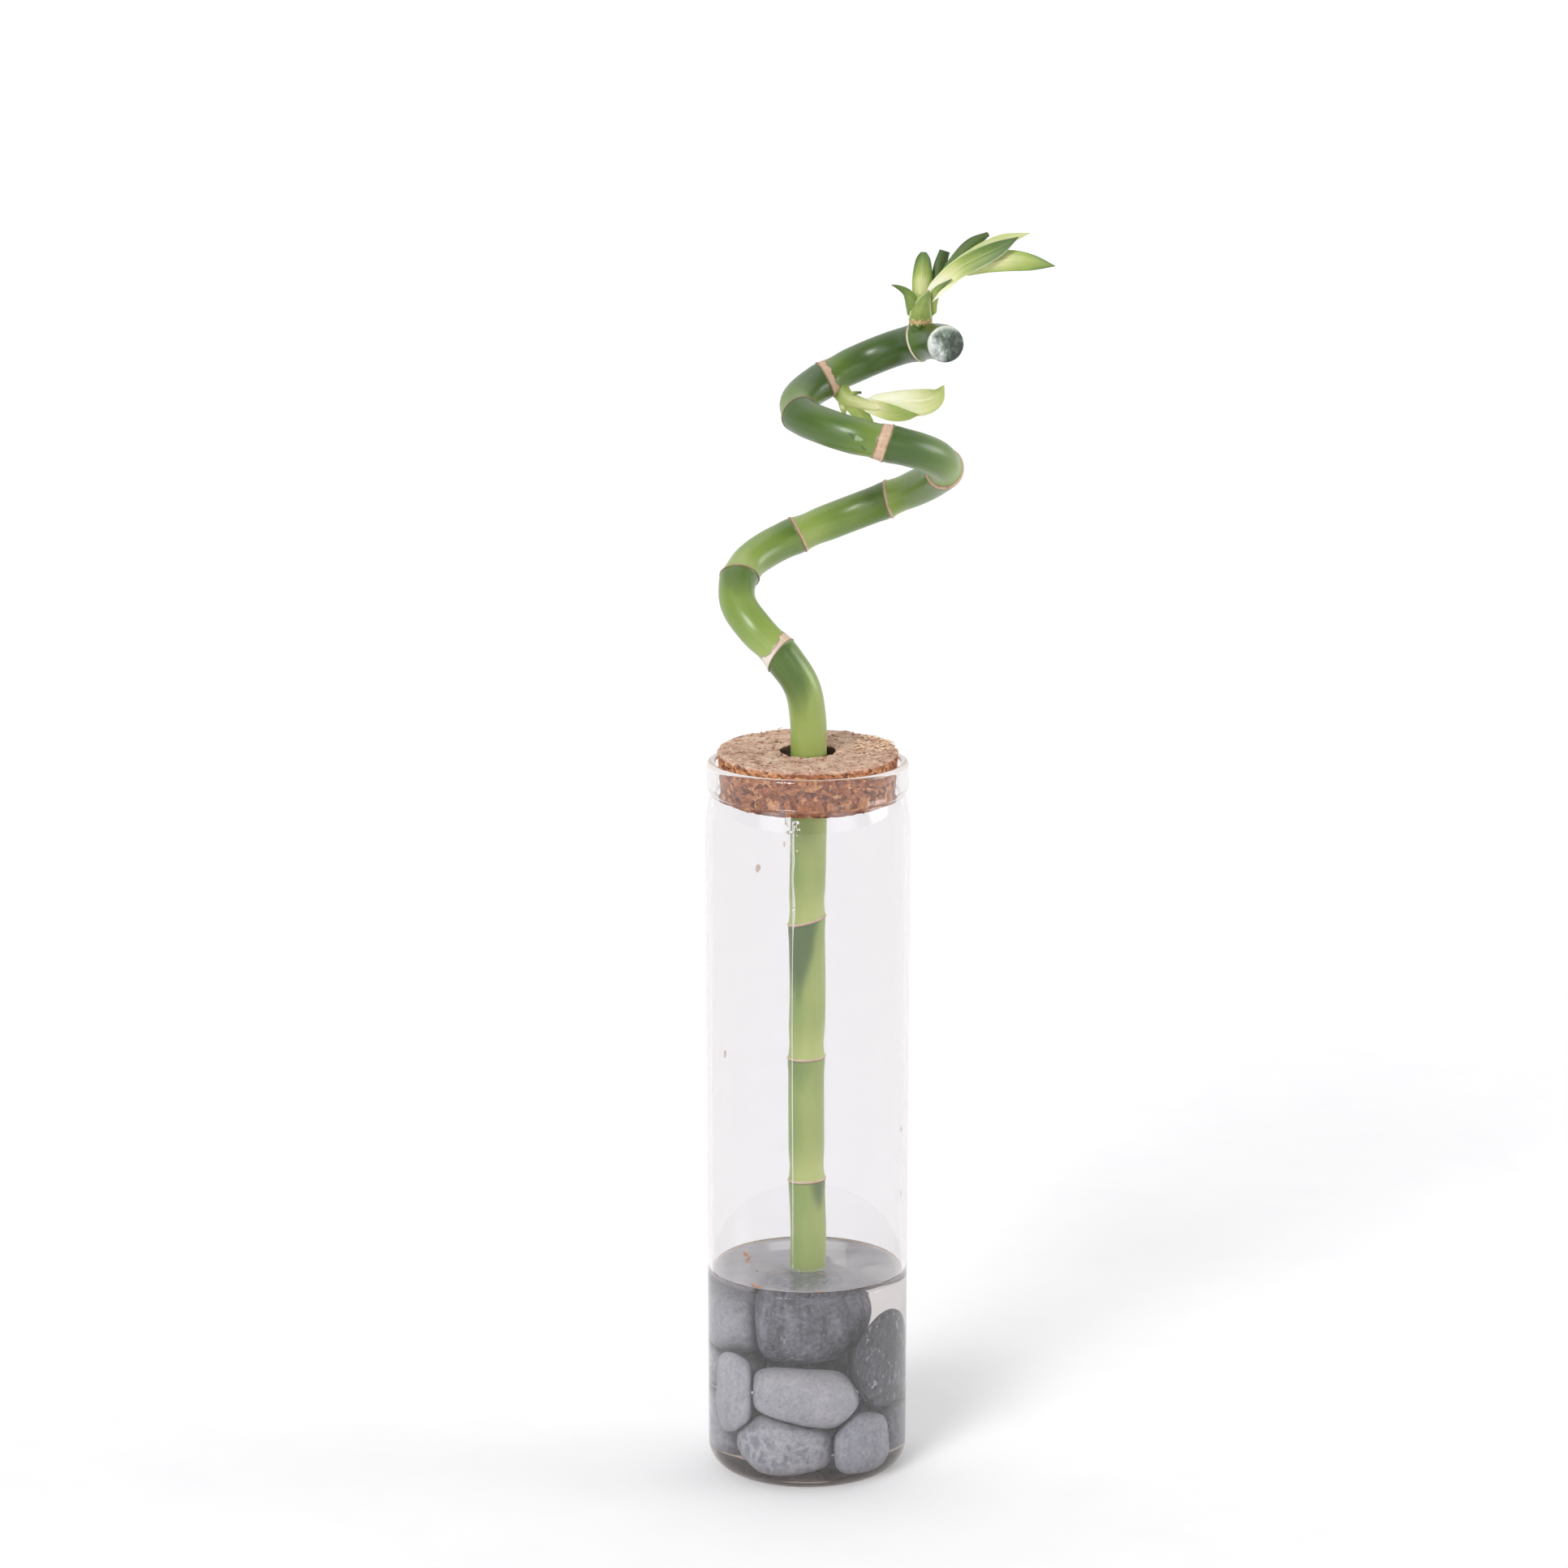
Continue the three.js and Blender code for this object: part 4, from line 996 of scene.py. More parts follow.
# Each leaf: spine of (x, y, z, half width), its sideways direction, how far its edges rise as a
# share of the half width, its tone from root to tip, how pale its margin is and how much darker
# its edges are than its middle.
upperLeaves = [
    {"spine": [(33.2, 16.6, 356, 2.8), (31.6, 15.6, 360.9, 2.3), (29.6, 15.3, 364.2, 1.3),
               (27.3, 15.3, 365.7, 0.7), (25.1, 15.4, 366.5, 0.1)],
     "across": (1, 0, 1), "cup": -0.5, "tone": (0.7, 0.68, 0.9), "rim": 0.3, "edge": 0.1},
    {"spine": [(33.7, 15.6, 353.5, 3.5), (34, 14.7, 358, 3.2), (35, 14.3, 361.3, 2.1),
               (36, 14.3, 363.6, 0.95), (36.4, 14.6, 365, 0.1)],
     "across": (1, 0, 0), "cup": -0.5, "tone": (0.66, 0.62, 0.75), "rim": 0.75, "edge": 0.0},
    {"spine": [(35.8, 17.6, 356.5, 2.8), (37, 16.4, 361, 2), (38.9, 15.8, 364.8, 1.2),
               (43.1, 14.7, 368.3, 0.1)],
     "across": (1, 0, -1), "cup": -0.4, "tone": (0.55, 0.55, 0.9), "rim": 0.4, "edge": 0.1},
    {"spine": [(34.4, 17.6, 359, 2.3), (34.3, 17.2, 364, 2.9), (34.5, 17.6, 370, 2.9),
               (34.7, 18.4, 374.4, 2), (34.8, 18.7, 376, 0.9)],
     "across": (1, 0, 0), "cup": -0.5, "tone": (0.26, 0.38, 0.88), "rim": 0.0, "edge": 0.25},
    {"spine": [(36.4, 18.6, 361, 2), (38.8, 20.6, 367, 2), (40.2, 21.6, 372, 2), (41.4, 22, 376, 1.7)],
     "across": (1, 0.3, 0), "cup": -0.3, "tone": (0.55, 0.85, 1.0), "rim": 0.0, "edge": 0.1},
    {"spine": [(35.6, 17.4, 360, 2.2), (39.6, 16.8, 365.8, 2.6), (45.2, 16.4, 371, 2.9),
               (51.6, 15.8, 374.6, 3), (57.6, 15, 377.6, 2.3), (63.1, 14, 381, 0.1)],
     "across": (0.35, 0.1, 1), "cup": -0.35, "tone": (-0.3, 0.56, 0.98), "rim": 0.6, "edge": 0.12},
    {"spine": [(37.6, 17.4, 362.6, 1.6), (43.4, 18.2, 370.4, 2), (50.4, 19.2, 375.4, 2.2),
               (58.6, 19.8, 379.4, 2), (66.7, 20, 381.6, 0.1)],
     "across": (0.35, 0.3, 1), "cup": 0.2, "tone": (0.2, 0.3, 0.36), "rim": 0.3, "edge": 0.1},
    {"spine": [(38.4, 18.2, 364.4, 1.4), (44, 20.6, 372.4, 1.9), (49.4, 22.4, 378, 1.9),
               (54.4, 23.6, 381, 0.7)],
     "across": (0.35, 0.2, 1), "cup": 0.2, "tone": (0.5, 0.82, 0.95), "rim": 0.0, "edge": 0.1},
    {"spine": [(44, 16.8, 369.6, 1.5), (52, 16.8, 372.2, 2.4), (59.5, 15.6, 373.8, 3.2),
               (67, 14, 373.4, 2.4), (74, 12.2, 372.5, 0.1)],
     "across": (-0.1, 0.2, 1), "cup": 0.25, "tone": (0.26, 0.33, 0.72), "rim": 0.0, "edge": 0.24},
]
lowerLeaves = [
    {"spine": [(11.2, 21.4, 332.4, 1.8), (13.4, 20.4, 333, 1.2), (16.2, 19.6, 333.4, 0.1)],
     "across": (0, 1, 0), "cup": 0.3, "tone": (0.3, 0.45, 1.0), "rim": 0.0, "edge": 0.1},
    {"spine": [(10.6, 22, 331, 1.6), (10.8, 21, 328.4, 1.1), (11.2, 20, 325.8, 0.1)],
     "across": (1, 0, 0), "cup": 0.3, "tone": (0.25, 0.35, 0.9), "rim": 0.0, "edge": 0.1},
    {"spine": [(11.6, 21, 331, 1.8), (14.4, 18.8, 328.4, 2.2), (17.6, 16.4, 325.2, 2),
               (19.6, 14.8, 322.4, 0.9)],
     "across": (0.5, 0.2, 0.8), "cup": 0.3, "tone": (0.5, 0.56, 0.7), "rim": 0.2, "edge": 0.1},
    {"spine": [(16, 19.4, 330, 1.8), (21, 16.8, 328.9, 2.4), (26.4, 13, 327.8, 2.5),
               (30.4, 10, 327.6, 1.6), (33.4, 8, 328.2, 0.1)],
     "across": (0, 0.35, 1), "cup": -0.55, "tone": (0.0, 0.46, 0.66), "rim": 0.5, "edge": 0.0},
    {"spine": [(16.4, 19.6, 330.4, 1.5), (22, 17.6, 331.2, 2.5), (28.6, 15.4, 331.4, 3.7),
               (35, 13.2, 331.7, 4.1), (38.6, 12.5, 333.2, 2.9), (40.9, 12, 336.5, 0.1)],
     "across": (-0.2, 0.5, 1), "cup": 0.3, "tone": (0.02, 0.08, 0.5), "rim": 0.3, "edge": 0.1},
]
# Each stalk: stations of (x, y, z, radius), tone from root to tip and the dry zigzag collar that
# runs round the whole shoot, with the dark stub below it.
upperStalk = {
    "stations": [(33.8, 20.2, 350, 3.5), (34, 19, 355.5, 3.5), (34.3, 18, 359.5, 3), (35.2, 17.8, 363, 2.6)],
    "tone": (0.7, 0.62, 0.5), "collar": {"middle": (34.1, 18.6), "low": 354.5, "high": 356.0, "stub": 0.9},
}
lowerStalk = {
    "stations": [(7.9, 24.9, 336.8, 1.2), (8.8, 24, 335.2, 2.6), (11.4, 22, 331.6, 2.6), (15, 20, 330.2, 2.2),
                 (19.4, 17.8, 329.3, 1.7), (23.4, 15.7, 329, 0.5)],
    "tone": (1.0, 0.56, 0.18), "collar": None,
}


# One leaf: a grid across and along its spine, on two faces that meet in a thin rim. A point's
# rise above the spine grows with its distance from the middle line, to the power 1.5, and the
# lower face has a keel.
def leafSurface(leaf, number):
    shape = leafShape
    fine = smoothCurve(leaf["spine"], 24)
    way = travelled(fine[:, :3])
    share = np.linspace(0, 1, shape["rows"])
    spine = readAt(share, way / way[-1], fine)
    rooted = shape["rootWidth"] + (1 - shape["rootWidth"]) * easedStep(share, 0, shape["rootShare"])
    halfWidth = np.maximum(spine[:, 3] * rooted, shape["tipHalfWidth"])[:, None]
    along = unit(np.gradient(spine[:, :3], axis=0))
    sideways = np.array(leaf["across"], float)
    across = unit(sideways - along * (along @ sideways)[:, None])
    face = np.cross(across, along)[:, None]
    column = np.linspace(-1, 1, shape["columns"])
    rise = leaf["cup"] * halfWidth * np.abs(column) ** 1.5
    wave = shape["wave"] * np.sin(share[:, None] * 9 + column * 2 + number * 1.7) * column**2
    middle = (spine[:, None, :3] + across[:, None] * (halfWidth * column)[:, :, None]
              + face * (rise + wave)[:, :, None])
    slim = shape["edgeThickness"] + (shape["thickness"] - shape["edgeThickness"]) * (1 - column**2)
    keel = bell(column, *shape["keel"]) * np.sin(np.pi * share)[:, None]
    upper = middle + face * (slim / 2)[:, None]
    lower = middle - face * (slim / 2 + keel)[:, :, None]

    # one closed ring per row: over the upper face and back under the lower one
    def bothFaces(top, bottom):
        return np.concatenate([top, bottom[:, ::-1]], axis=1)

    ring = bothFaces(upper, lower)
    points, faces = closedSkin(ring, ring[0].mean(0), ring[-1].mean(0))
    tone = np.interp(share, [0, 0.5, 1], leaf["tone"])[:, None] + leaf["edge"] * np.abs(column) ** 3
    margin = np.broadcast_to(leaf["rim"] * easedStep(np.abs(column), 0.86, 0.99), tone.shape)
    space = vectors(np.broadcast_to(column, tone.shape), share[:, None] * 3, float(number))
    return points, faces, {
        "tone": np.concatenate([bothFaces(tone, tone).ravel(), [leaf["tone"][0], leaf["tone"][-1]]]),
        "leafSpace": np.vstack([bothFaces(space, space).reshape(-1, 3), [0, 0, number], [0, 3, number]]),
        "rim": np.concatenate([bothFaces(margin, margin).ravel(), [0, 0]]),
    }


# The fleshy stalk: round sections along its stations, faintly ribbed.
def stalkSurface(stalk, number):
    fine = smoothCurve(stalk["stations"], 20)
    centres, radius = fine[:, :3], fine[:, 3]
    angle = fullTurn(leafShape["stalkColumns"])
    reach = roundSections(centres, (1, 0, 0), angle)[3]
    share = np.linspace(0, 1, len(fine))[:, None]
    girth = radius[:, None] + leafShape["ribs"] * np.sin(angle * 5 + share * 3)
    points, faces = closedSkin(centres[:, None] + reach * girth[:, :, None], centres[0], centres[-1])
    space = vectors(np.cos(angle) * 1.5, share * 2, number + np.sin(angle) * 0.5)
    tone = np.broadcast_to(np.interp(share, [0, 0.35, 1], stalk["tone"]), girth.shape)
    return points, faces, {
        "tone": np.concatenate([tone.ravel(), [stalk["tone"][0], stalk["tone"][2]]]),
        "leafSpace": np.vstack([space.reshape(-1, 3), [0, 0, number], [0, 2, number]]),
        "rim": np.zeros(len(points)),
    }


# Dries a zigzag band round a shoot and darkens the stub below it. The band's heights waver with
# the angle about the shoot's middle.
def addCollar(points, marks, collar):
    low, high = collar["low"], collar["high"]
    around = np.arctan2(points[:, 1] - collar["middle"][1], points[:, 0] - collar["middle"][0])
    height = points[:, 2] + 0.3 * np.sin(around * 9) + 0.2 * np.sin(around * 23 + 1)
    below = easedStep(height, low, low - 0.3)
    marks["dry"] = easedStep(height, low - 0.2, low) * easedStep(height, high, high - 0.25)
    marks["tone"] = marks["tone"] * (1 - below) + collar["stub"] * below
    marks["rim"] = marks["rim"] * easedStep(height, high, high + 1)


leafSkin = leafMaterial()
for name, node, stalk, leaves in (("shootUpper", "shoot_upper", upperStalk, upperLeaves),
                                  ("shootLower", "shoot_lower", lowerStalk, lowerLeaves)):
    parts = [stalkSurface(stalk, 20)] + [leafSurface(leaf, number) for number, leaf in enumerate(leaves)]
    shootPoints, shootFaces = gathered([part[:2] for part in parts])
    shootMarks = {key: np.concatenate([part[2][key] for part in parts]) for key in parts[0][2]}
    shootMarks["dry"] = np.zeros(len(shootPoints))
    if stalk["collar"]:
        addCollar(shootPoints, shootMarks, stalk["collar"])
    makePiece(name, shootPoints, shootFaces, leafSkin, "leaf", node, shootMarks)
print("shoots made")

# Water

water = {
    "level": 63.8, "overlap": 0.12, "wallRise": 0.7, "wallReach": 0.7, "caneRise": 0.5,
    "caneReach": 0.7, "columns": 180,
    "filmEdge": (29.3, 28.6), "thinMiddle": (-2, -14), "thinSize": (13, 12), "thinShare": 0.25,
}


# The water in section: the vase's floor and wall, a rim that climbs the glass, a flat top, and
# a small rise round the cane's foot.
def waterProfile():
    inner = vase["innerRadius"] + water["overlap"]
    bottom = vase["floor"] - water["overlap"]
    corner = vase["innerCorner"]
    radius = np.linspace(inner, 0, 110)
    height = water["level"] + water["wallRise"] * np.exp(-(inner - radius) / water["wallReach"])
    height += water["caneRise"] * np.exp(-np.clip(radius - cane["radius"], 0, None) / water["caneReach"])
    return np.vstack([
        [(0, bottom)],
        straight((0, bottom), (inner - corner, bottom), 8),
        arc((inner - corner, bottom + corner), corner, -90, 0, 14)[1:],
        straight((inner, bottom + corner), (inner, height[0]), 20)[:-1],
        np.stack([radius, height], -1),
    ])


# Where the top carries its milky film: all over, but thinner over the stone in front of the cane,
# within an ellipse.
def waterFilm(points):
    x, y, z = points.T
    onTop = z > water["level"] - 0.01
    toThin = (points[:, :2] - water["thinMiddle"]) / water["thinSize"]
    thinned = easedStep(np.hypot(*toThin.T), 0.55, 1.15)
    share = water["thinShare"] + (1 - water["thinShare"]) * thinned
    return onTop * easedStep(np.hypot(x, y), *water["filmEdge"]) * share


waterPoints, waterFaces = turnedShape(waterProfile(), water["columns"])
waterStuff = waterMaterial()
waterMarks = {"film": waterFilm(waterPoints)}
makePiece("stillWater", waterPoints, waterFaces, waterStuff, "water", "water", waterMarks)
print("water made")

# Stones

stoneSettings = {
    "gap": 0.04, "glassGap": 0.1, "squareness": 2.4, "roundness": 10, "unevenness": 0.05,
    "rows": 56, "columns": 92, "dents": 0.35,
    "phase": 2.4,  # sets each stone's waves apart from the last one's
}

# Middle, half sizes, turn about the vertical and tilt to the right in degrees, how much slimmer
# the top is than the middle, and the skin: lightness, how spotted, banded and nicked it is.
stoneSpots = [
    ((-6, -15.5, 12), (14.5, 11, 10.2), 8, 8, 0, (0.66, 1.0, 0.0, 0.2)),
    ((15, -14.5, 12.8), (8.2, 11, 11), -20, 12, 0, (0.62, 0.25, 0.3, 0.3)),
    ((-19, 7, 13), (10, 12, 11), 12, 0, 0, (0.6, 0.6, 0.3, 0.2)),
    ((1, 17.5, 12.5), (13, 10, 10), -6, 0, 0, (0.2, 0.6, 0.3, 0.2)),
    ((17, 11, 12), (10, 12, 10), -10, 5, 0, (0.45, 0.6, 0.3, 0.2)),
    # darkest, as painted shade: this stone lies hidden in the middle
    ((1, 2, 13), (9, 8, 9.5), 35, 0, 0, (0.0, 0.6, 0.3, 0.2)),
    ((-1, -16, 27.7), (16.8, 10, 10.4), 4, 7, 0, (0.8, 0.15, 0.2, 0.3)),
    ((-20, -12.8, 27.5), (5.8, 8, 14), 30, 2, 0, (0.8, 0.3, 0.3, 0.2)),
    ((-17, 10, 32), (11, 12, 11), -35, 0, 0, (0.66, 0.5, 0.3, 0.2)),
    ((23.5, -4.5, 15), (5.5, 9, 8), -30, 0, 0, (0.2, 0.4, 0.4, 0.4)),
    ((2, 19.5, 30), (13, 8, 11), 5, 0, 0, (0.6, 0.5, 0.3, 0.2)),
    ((18, 12, 30), (10, 12, 11), 20, 0, 0, (0.85, 0.5, 0.3, 0.2)),
    # darkest, as painted shade: this stone lies hidden in the middle
    ((0, 2, 32), (10, 9, 10), -15, 0, 0, (0.0, 0.5, 0.3, 0.2)),
    ((-1, -4, 49.5), (16.5, 15, 14.5), 10, 0, 0.1, (0.3, 0.5, 0.85, 0.9)),
    ((-17.5, 2, 48), (11.5, 14, 10.5), 15, -12, 0, (0.66, 0.3, 0.2, 0.2)),
    ((20.3, -9, 37), (8.6, 11, 16.3), -25, 5, 0.14, (0.06, 0.5, 0.5, 1.6)),
    ((-4, 18, 49.5), (11.5, 9, 11), 0, 0, 0.1, (0.5, 0.3, 0.2, 0.2)),
]


# How far a stone reaches unhindered along unit directions (n, 3): a rounded block with slow,
# shallow waves on it, slimmed upwards by its taper.
def freeReach(index, directions):
    _, half, turn, tilt, taper, _ = stoneSpots[index]
    cosTurn, sinTurn = math.cos(math.radians(turn)), math.sin(math.radians(turn))
    cosTilt, sinTilt = math.cos(math.radians(tilt)), math.sin(math.radians(tilt))
    x = directions[:, 0] * cosTurn + directions[:, 1] * sinTurn
    y = -directions[:, 0] * sinTurn + directions[:, 1] * cosTurn
    z = directions[:, 2]
    own = np.stack([x * cosTilt - z * sinTilt, y, x * sinTilt + z * cosTilt], -1)
    girth = 1 - taper * own[:, 2]
    sizes = vectors(half[0] * girth, half[1] * girth, half[2])
    power = stoneSettings["squareness"]
    phase = index * stoneSettings["phase"]
    reach = (np.abs(own / sizes) ** power).sum(1) ** (-1 / power)
    wave = np.sin(3 * own[:, 0] + phase) * np.sin(2.6 * own[:, 1] - phase) + np.sin(3.4 * own[:, 2] + phase)
    return reach * (1 + stoneSettings["unevenness"] * wave)


# The stone in its place: the free reach is cut short, with a rounded edge, by the planes that it
# shares with its neighbours, by the glass, the floor and the cane's foot. The shortest of all the
# reaches r is taken softly: the sum of r ** -roundness, to the power -1 / roundness.
def stoneShape(index):
    directions, faces = unitBall(stoneSettings["rows"], stoneSettings["columns"])
    centre = np.array(stoneSpots[index][0], float)
    gap = stoneSettings["gap"]
    limits = [freeReach(index, directions)]

    # a plane square to normal, at a distance of room from the stone's middle
    def limitBy(normal, room):
        slope = directions @ normal
        limits.append(np.where(slope > 1e-3, room / np.maximum(slope, 1e-3), 1e6))

    for other, spot in enumerate(stoneSpots):
        if other != index:
            towards = np.array(spot[0], float) - centre
            apart = np.linalg.norm(towards)
            towards /= apart
            mine = freeReach(index, towards[None])[0]
            theirs = freeReach(other, -towards[None])[0]
            limitBy(towards, apart * mine / (mine + theirs) - gap / 2)
    limitBy(np.array([0, 0, -1.0]), centre[2] - vase["floor"] - gap)
    limitBy(np.array([0, 0, 1.0]), cane["foot"] - gap - centre[2])
    wall = vase["innerRadius"] - gap - stoneSettings["glassGap"]
    flat = directions[:, 0] ** 2 + directions[:, 1] ** 2
    inward = centre[0] * directions[:, 0] + centre[1] * directions[:, 1]
    outside = centre[0] ** 2 + centre[1] ** 2 - wall**2
    # straight up and down this is 0, which draws each stone's two pole points in to its middle
    limits.append((-inward + np.sqrt(inward**2 - flat * outside)) / np.maximum(flat, 1e-6))
    corner = vase["innerCorner"]
    low = vase["floor"] + corner
    if centre[2] < low + stoneSpots[index][1][2]:  # a low stone also clears the rounded corner
        outwards = np.hypot(centre[0], centre[1])
        slant = np.array([centre[0] / outwards, centre[1] / outwards, -1]) / math.sqrt(2)
        limitBy(slant, (wall - corner - outwards + centre[2] - low) / math.sqrt(2) + corner - gap)
    roundness = stoneSettings["roundness"]
    reach = (np.array(limits) ** -roundness).sum(0) ** (-1 / roundness)
    points = centre + directions * reach[:, None]
    dents = softNoise(points, 5.0, 40 + index) * 0.6 + softNoise(points, 2.0, 60 + index) * 0.25
    return points - directions * (dents * stoneSettings["dents"])[:, None], faces


stoneSkin = stoneMaterial()
for index, spot in enumerate(stoneSpots):
    points, faces = stoneShape(index)
    number = f"{index + 1:02d}"
    marks = {key: np.full(len(points), value)
             for key, value in zip(("tone", "spots", "bands", "nicks"), spot[5])}
    makePiece("riverStone" + number, points, faces, stoneSkin, "stone", "stone_" + number, marks)
print("stones made")

# Fine things: root threads, specks and bubbles on the water, drops and specks on the glass, loose
# crumbs on the cork and a thin dark line where the water meets the glass

fineThings = {
    "threadColumns": 8, "threadSide": (0.3, 0.5, 0.8), "leastRadius": 0.01,
    "grainRows": 7, "grainColumns": 10, "holeClearance": 10, "edgeClearance": 26.6,
    "lineRadius": 29.25, "lineRise": 0.62, "lineTurn": (172, 368), "linePoints": 40,
}


# A thin round thread through stations of (x, y, z, radius), closed at both ends.
def threadSurface(stations, steps=10):
    fine = smoothCurve(stations, steps)
    centres, radius = fine[:, :3], np.maximum(fine[:, 3], fineThings["leastRadius"])
    reach = roundSections(centres, fineThings["threadSide"], fullTurn(fineThings["threadColumns"]))[3]
    return closedSkin(centres[:, None] + reach * radius[:, None, None], centres[0], centres[-1])


# Many small grains in one surface: the same ball, stretched, dented by noise and turned about the
# vertical for each row of (x, y, z, half sizes in x, y and z, turn in degrees).
def grainSurface(grains, dents, seed):
    ball, faces = unitBall(fineThings["grainRows"], fineThings["grainColumns"])
    grains = np.asarray(grains, float)
    shift = np.arange(len(grains))[:, None, None] * 7.3
    bumps = softNoise((ball * 1.3 + shift).reshape(-1, 3), 1.0, seed).reshape(len(grains), -1, 1)
    x, y, z = np.moveaxis(ball * grains[:, None, 3:6] * (1 - dents * bumps), -1, 0)
    turn = np.radians(grains[:, 6])[:, None]
    turned = np.stack([x * np.cos(turn) - y * np.sin(turn), x * np.sin(turn) + y * np.cos(turn), z], -1)
    points = (turned + grains[:, None, :3]).reshape(-1, 3)
    starts = np.arange(len(grains))[:, None, None] * len(ball)
    return points, [(face + starts).reshape(-1, face.shape[1]) for face in faces]


# Grains strewn round a spot: an even random spread of places, sizes and turns.
def strewn(spot, spread, halfSizes, count, seed):
    draw = np.random.default_rng(seed)
    places = np.array(spot) + draw.uniform(-1, 1, (count, 3)) * np.array(spread)
    sizes = np.array(halfSizes) * draw.uniform(0.5, 1.2, (count, 1))
    return np.hstack([places, sizes, draw.uniform(0, 180, (count, 1))])


# Grains lying on the tilted cork: those too near its hole or its edge are left out.
def onCork(grains):
    fromAxis = np.hypot(grains[:, 0], grains[:, 1])
    kept = grains[(fromAxis > fineThings["holeClearance"]) & (fromAxis < fineThings["edgeClearance"])]
    kept[:, 2] += kept[:, 1] * math.tan(math.radians(cork["tilt"]))
    return kept


# The stations of the water's dark line: an arc on the glass, of uneven thickness, that thins out
# at its ends.
def waterLine():
    angle = np.radians(np.linspace(*fineThings["lineTurn"], fineThings["linePoints"]))
    count = np.arange(len(angle))
    radius = 0.1 + 0.07 * np.sin(count * 1.9) * np.sin(count * 0.7)
    radius[[0, -1]] = 0.02
    return vectors(fineThings["lineRadius"] * np.cos(angle), fineThings["lineRadius"] * np.sin(angle),
                   waterTop + fineThings["lineRise"], radius)


waterTop = water["level"]
rootThreads = [
    [(-20.2, 14, waterTop + 0.1, 0.25), (-18.4, 9.6, waterTop + 0.25, 0.32), (-18.8, 5, waterTop + 0.1, 0.2),
     (-16.6, 1.6, waterTop, 0.05)],
    [(-17.2, -17.6, waterTop + 0.05, 0.06), (-15.9, -20.9, waterTop + 0.25, 0.34),
     (-13.4, -22.6, waterTop + 0.05, 0.1)],
    [(3.4, -5.2, 62.6, 0.2), (6.2, -7.6, 61.6, 0.18), (8.2, -11, 62.4, 0.12), (12.4, -12.6, 61.9, 0.04)],
    [(-4.6, -3.4, 62.6, 0.2), (-8.6, -5.2, 62, 0.17), (-12.8, -5, 62.8, 0.1), (-16, -8.2, 62.6, 0.04)],
    [(4.8, 1.6, 62.6, 0.2), (9.4, 3.4, 62.2, 0.16), (13.6, 2.2, 62.8, 0.08), (16.4, 4.6, 62.4, 0.03)],
]
waterSpecks = np.vstack([
    [(3.4, -28.3, waterTop + 0.5, 0.75, 0.5, 0.35, 20), (-15.5, -5.3, waterTop + 0.1, 0.5, 0.35, 0.2, 40),
     (-12.5, -6.9, waterTop + 0.1, 0.35, 0.3, 0.18, 0), (-19.6, 11.2, waterTop + 0.15, 0.6, 0.9, 0.25, 70)],
    strewn((-14, -9, waterTop + 0.05), (7, 9, 0.05), (0.22, 0.16, 0.1), 14, 5),
    strewn((10, -6, waterTop + 0.05), (9, 12, 0.05), (0.16, 0.12, 0.08), 10, 6),
])
bubbles = np.vstack([
    [(-12, -16.8, waterTop + 0.1, 0.9, 0.9, 0.5, 0), (-10.4, -16.4, waterTop + 0.1, 0.6, 0.6, 0.4, 0),
     (-9, -16.8, waterTop + 0.1, 0.75, 0.75, 0.45, 0), (5.5, -14.3, waterTop + 0.1, 0.8, 0.8, 0.45, 0),
     (8, -14.3, waterTop + 0.1, 0.6, 0.6, 0.4, 0)],
    strewn((0, -5.6, waterTop + 0.3), (4.6, 1.2, 0.1), (0.4, 0.4, 0.3), 12, 8),
])
glassSpecks = [
    (-14.8, -25.1, 196.1, 1.1, 0.22, 1.4, 30), (-7, -28.3, 204.1, 0.5, 0.2, 1.0, 12),
    (-24.4, -15.9, 136, 0.8, 0.25, 1.4, 55), (28.4, -5.9, 109.6, 0.3, 0.9, 1.3, 5),
    (28.7, -3.6, 88.4, 0.25, 0.7, 1.1, 5), (-5.2, -28.7, 199.2, 0.25, 0.12, 0.5, 8),
]
glassDrops = np.vstack([
    [(-6.5, -28.5, 211.2, 0.6, 0.4, 1.4, 12), (-3.6, -28.9, 210.6, 1.3, 0.45, 0.8, 6),
     (-5.4, -28.7, 207.8, 1.5, 0.45, 0.7, 10), (-2.8, -29, 208.6, 0.6, 0.35, 0.5, 4),
     (-4.2, -28.9, 184.2, 0.5, 0.35, 0.9, 8)],
    strewn((-4.5, -28.85, 206), (1.6, 0.05, 4), (0.3, 0.2, 0.35), 8, 9),
])
dropTrail = [(-4.3, -28.95, 211, 0.42), (-4.45, -28.95, 204.2, 0.3), (-4.3, -28.95, 199, 0.34),
             (-4.6, -28.9, 194.2, 0.26), (-4.35, -28.95, 189, 0.3), (-4.2, -28.95, 184.3, 0.4),
             (-4.5, -28.95, 176, 0.16), (-4.7, -28.95, 150, 0.12), (-4.6, -28.95, 120, 0.16),
             (-4.5, -28.95, 96, 0.14), (-4.5, -28.95, 72, 0.1)]
paleCrumbs = onCork(np.vstack([
    strewn((20, 10, 227.2), (5.4, 9, 0.3), (1.1, 0.45, 0.35), 70, 14),
    strewn((0, 0, 227), (24, 24, 0.2), (0.6, 0.35, 0.25), 70, 17),
]))
corkCrumbs = onCork(strewn((0, 0, 227), (24, 24, 0.2), (0.6, 0.45, 0.25), 90, 15))
paleFibres = [
    [(21.1, 2.3, 227.3, 0.12), (23.6, 3.8, 227.9, 0.2), (26, 6, 227.7, 0.1)],
    [(20.8, 4.6, 227.4, 0.1), (24, 6.6, 227.9, 0.22), (26.4, 9.4, 227.6, 0.08)],
    [(22.6, 8.6, 227.6, 0.1), (24.6, 8, 228.2, 0.16), (26.6, 6.8, 227.7, 0.06)],
    [(-9.8, 21.4, 228.2, 0.1), (-8.8, 22.6, 229, 0.16), (-7.6, 21.6, 229.6, 0.06)],
]
